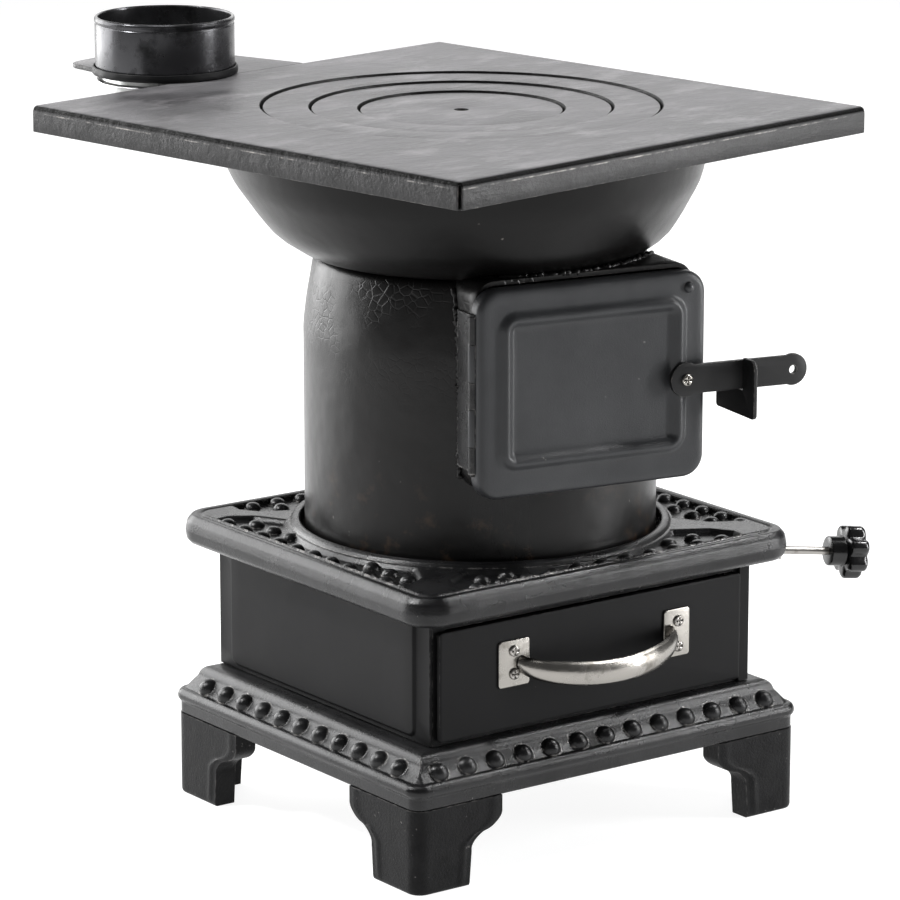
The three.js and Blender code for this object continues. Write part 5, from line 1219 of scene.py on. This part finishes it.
def doorShape():
    # Loops from the pocket behind, round the flange and over the face; the ridge is a raised cosine
    # between its outer and inner loops, and the middle panel sinks a little.
    f, b = door["face"], door["back"]
    pocket = [(30, f - 4), (8, f - 4), (6.6, f - 4.4), (6.5, b + 0.5), (6.1, b), (0.6, b), (0, b + 0.5)]
    flange = [(0, f - 6.2), (0.25, f - 4.2), (0.9, f - 2.6), (2.0, f - 1.3), (3.6, f - 0.4), (5.6, f), (9, f)]
    rows = [(door["outline"], inset, depth) for inset, depth in pocket + flange]
    width, rise, sink = door["ridgeWidth"], door["ridgeRise"], door["panelSink"]
    for inset in np.linspace(0, width, 16):
        swell = rise * (0.5 - 0.5 * math.cos(2 * math.pi * inset / width))
        rows.append((door["ridge"], inset, f + swell - sink * inset / width))
    rows += [(door["ridge"], inset, f - sink) for inset in (18, 26, 36, 48)]
    grid = np.stack([atLevel(roundedLoop(outline, inset, 12, 16), depth) for outline, inset, depth in rows])
    points, faces = surface(grid, caps=True)
    front = points[:, 2] > f - 2
    points = points.copy()
    points[front, 2] += waves(points[front] * [1, 1, 0], 21, 60, 0.45)
    return points, faces


boss = lathe([(8, 138.5), (8, 148.8)], 32, door["pivot"], closed=False)
rivetHead = dome([(4.4, -0.6), (4.1, 0.8), (3.4, 2.2), (2.2, 3.2), (0.9, 3.7), (0.2, 3.8)])
doorParts = [doorShape(), boss, carried(rivetHead, (*door["rivet"], door["face"]))]
for low, high in door["knuckles"]:
    barrel = lathe(softened([(2.4, low), (3.5, low), (3.5, high), (2.4, high)], 0.3), 32, door["hinge"])
    doorParts.append(moved(barrel, np.stack([barrel[0][:, 0], barrel[0][:, 2], -barrel[0][:, 1]], -1)))
addPiece("fireDoor", onDoor(merged(*doorParts)), doorPaint, "fire_door", ["door_panel"], smooth=45)

# latch lever with its cross fin
lever = {
    "depth": (153.2, 157.2), "far": (181.5, 352.9), "eyes": (13.0, 12.0), "half": 11.0, "hole": 3.4,
    "fin": [(118, 341.6), (118, 323.8), (119.5, 322), (172, 322), (174.4, 324.4), (174.4, 360.8), (172.5, 364.8),
            (168.5, 366.3), (157.5, 366.3), (157.5, 341.6)],
    "finLevels": (138.0, 141.0),
}


def leverOutline():
    # Two eyes joined by a straight bar: arcs that start where the bar's edge meets each eye.
    near, far = np.array(door["pivot"]), np.array(lever["far"])
    along = (far - near) / np.linalg.norm(far - near)
    tilt = math.atan2(along[1], along[0])
    nearEye, farEye = lever["eyes"]
    meetNear, meetFar = math.asin(lever["half"] / nearEye), math.asin(lever["half"] / farEye)
    a = tilt + np.linspace(meetNear, 2 * np.pi - meetNear, 44)
    b = tilt + np.linspace(-(np.pi - meetFar), np.pi - meetFar, 44)
    nearArc = near + nearEye * np.stack([np.cos(a), np.sin(a)], -1)
    farArc = far + farEye * np.stack([np.cos(b), np.sin(b)], -1)
    return np.concatenate([nearArc, farArc])


leverPart = onDoor(slabFrom(leverOutline(), lever["depth"], 0.5))
leverPiece = addPiece("latchLever", leverPart, leverPaint, "latch", ["latch_lever"], smooth=40)
eyeTool = lathe([(lever["hole"], 150), (lever["hole"], 160)], 40, lever["far"], closed=False)
cutPiece(leverPiece, onDoor(eyeTool), smooth=40)
finPoints, finFaces = slabFrom(softened(lever["fin"], 1.0), lever["finLevels"], 0.45)
finPart = onDoor((finPoints[:, ::-1], [face[::-1] for face in finFaces]))
addPiece("leverFin", finPart, leverPaint, "latch", ["lever_fin"], smooth=40)
latchScrew = onDoor(screwHead(*door["pivot"], lever["depth"][1] + 0.3, 4.5, 2.4))
addPiece("leverScrew", latchScrew, nickelPlate, "latch", ["latch_screw"])
print("door and latch are in place")

# shaker: spring and knob on the rod's slanted line
rodPlace = np.array([151.5, -95.0, 194.9])
rodWay = np.array([0.94726, -0.30413, -0.10106])
rodAcross = np.array([0.30570, 0.95213, 0.0])
rodUp = np.cross(rodWay, rodAcross)


def onRod(part):
    # From the rod's own frame (along, across, up) to the drum's.
    return moved(part, rodPlace + part[0] @ np.stack([rodWay, rodAcross, rodUp]))


coil = {"wire": 1.1, "radius": 5.1, "turns": 15, "span": (3.8, 54.6)}


def coilSpring():
    # Helix of wire: x runs evenly along the rod, angle by one turn per pitch; the wire's ends are capped.
    steps = coil["turns"] * 28
    share = np.linspace(0, 1, steps + 1)
    angle = share * coil["turns"] * 2 * np.pi
    x = coil["span"][0] + share * (coil["span"][1] - coil["span"][0])
    out = np.stack([np.zeros_like(angle), np.cos(angle), np.sin(angle)], -1)
    middle = out * coil["radius"]
    middle[:, 0] = x
    along = np.gradient(middle, axis=0)
    along /= np.linalg.norm(along, axis=1, keepdims=True)
    aside = np.cross(along, out)
    turn = np.arange(10) * 2 * np.pi / 10
    ring = np.cos(turn)[None, :, None] * out[:, None] + np.sin(turn)[None, :, None] * aside[:, None]
    return surface(middle[:, None] + coil["wire"] * ring, caps=True)


spring = onRod(coilSpring())
springPiece = addPiece("shakerSpring", spring, bareSteel, "stove_body", ["shaker_spring"], smooth=60)
knob = {"start": 96.7, "hub": 12.0, "hubRadius": 11.5, "grip": 16.0, "gripRadius": 21.0, "lobes": 7, "lobe": 1.9}


def knobShape():
    # Rows of (radius, place along the axis, wave): the radius at an angle is radius + wave * rounded cosine.
    hub, foot = knob["hubRadius"], knob["start"]
    start, end = foot + knob["hub"], foot + knob["hub"] + knob["grip"]
    body = knob["gripRadius"] - knob["lobe"]
    rows = [(hub - 1.0, foot, 0), (hub - 0.3, foot + 0.3, 0), (hub, foot + 1.0, 0), (hub, start - 1.5, 0),
            (hub + 0.6, start - 0.4, 0), (body - 3.0, start, 1.2), (body - 1.2, start + 0.5, 1.7),
            (body - 0.2, start + 1.6, 2.0), (body, start + 3.2, 2.1), (body, end - 4.4, 2.1),
            (body - 0.4, end - 2.6, 2.1), (body - 1.6, end - 1.1, 2.0), (body - 3.4, end - 0.3, 1.7),
            (body - 6.0, end, 1.1), (body - 9.0, end, 0.3), (4.0, end - 0.3, 0)]
    angle = np.arange(168) * 2 * np.pi / 168
    lobe = 1 - 2 * (0.5 - 0.5 * np.cos(knob["lobes"] * angle)) ** 1.5
    bodies, places, wave = (np.array(column, float)[:, None] for column in zip(*rows))
    radius = bodies + wave * lobe
    x = np.repeat(places, len(angle), 1)
    return surface(np.stack([x, radius * np.cos(angle), radius * np.sin(angle)], -1), caps=True)


addPiece("shakerKnob", onRod(knobShape()), knobPhenolic, "shaker", ["shaker_knob"], smooth=50)
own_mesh(springPiece)


# floor and lights
def makeFloor():
    # Plain floor that glows a little, so that it reads as white with a soft shadow under the stove.
    mesh = bpy.data.meshes.new("studioFloor")
    mesh.from_pydata([(-14, -14, 0), (14, -14, 0), (14, 14, 0), (-14, 14, 0)], [], [(0, 1, 2, 3)])
    floor = bpy.data.objects.new("studioFloor", mesh)
    material, tree, shader, _ = newMaterial("whiteFloor")
    shader.inputs["Base Color"].default_value = (studio["floorColour"],) * 3 + (1.0,)
    shader.inputs["Roughness"].default_value = 0.7
    shader.inputs["Emission Color"].default_value = (1.0, 1.0, 1.0, 1.0)
    shader.inputs["Emission Strength"].default_value = studio["floorGlow"]
    mesh.materials.append(material)
    bpy.context.scene.collection.objects.link(floor)


def areaLight(name, place, target, size, power):
    data = bpy.data.lights.new(name, "AREA")
    data.shape = "RECTANGLE"
    data.size, data.size_y = size
    data.energy = power
    lamp = bpy.data.objects.new(name, data)
    lamp.location = place
    lamp.visible_camera = False
    lamp.rotation_euler = (Vector(target) - Vector(place)).to_track_quat("-Z", "Y").to_euler()
    bpy.context.scene.collection.objects.link(lamp)


def makeLight():
    world = bpy.data.worlds.new("studio")
    world.use_nodes = True
    world.node_tree.nodes["Background"].inputs[0].default_value = (1.0, 1.0, 1.0, 1.0)
    world.node_tree.nodes["Background"].inputs[1].default_value = studio["roomLight"]
    bpy.context.scene.world = world
    for name, lamp in studio["lamps"].items():
        areaLight(name, lamp["place"], (0, 0, 0.3), lamp["size"], lamp["power"])


makeFloor()
makeLight()
bpy.context.scene.view_settings.view_transform = "Standard"

print("the stove is dressed")
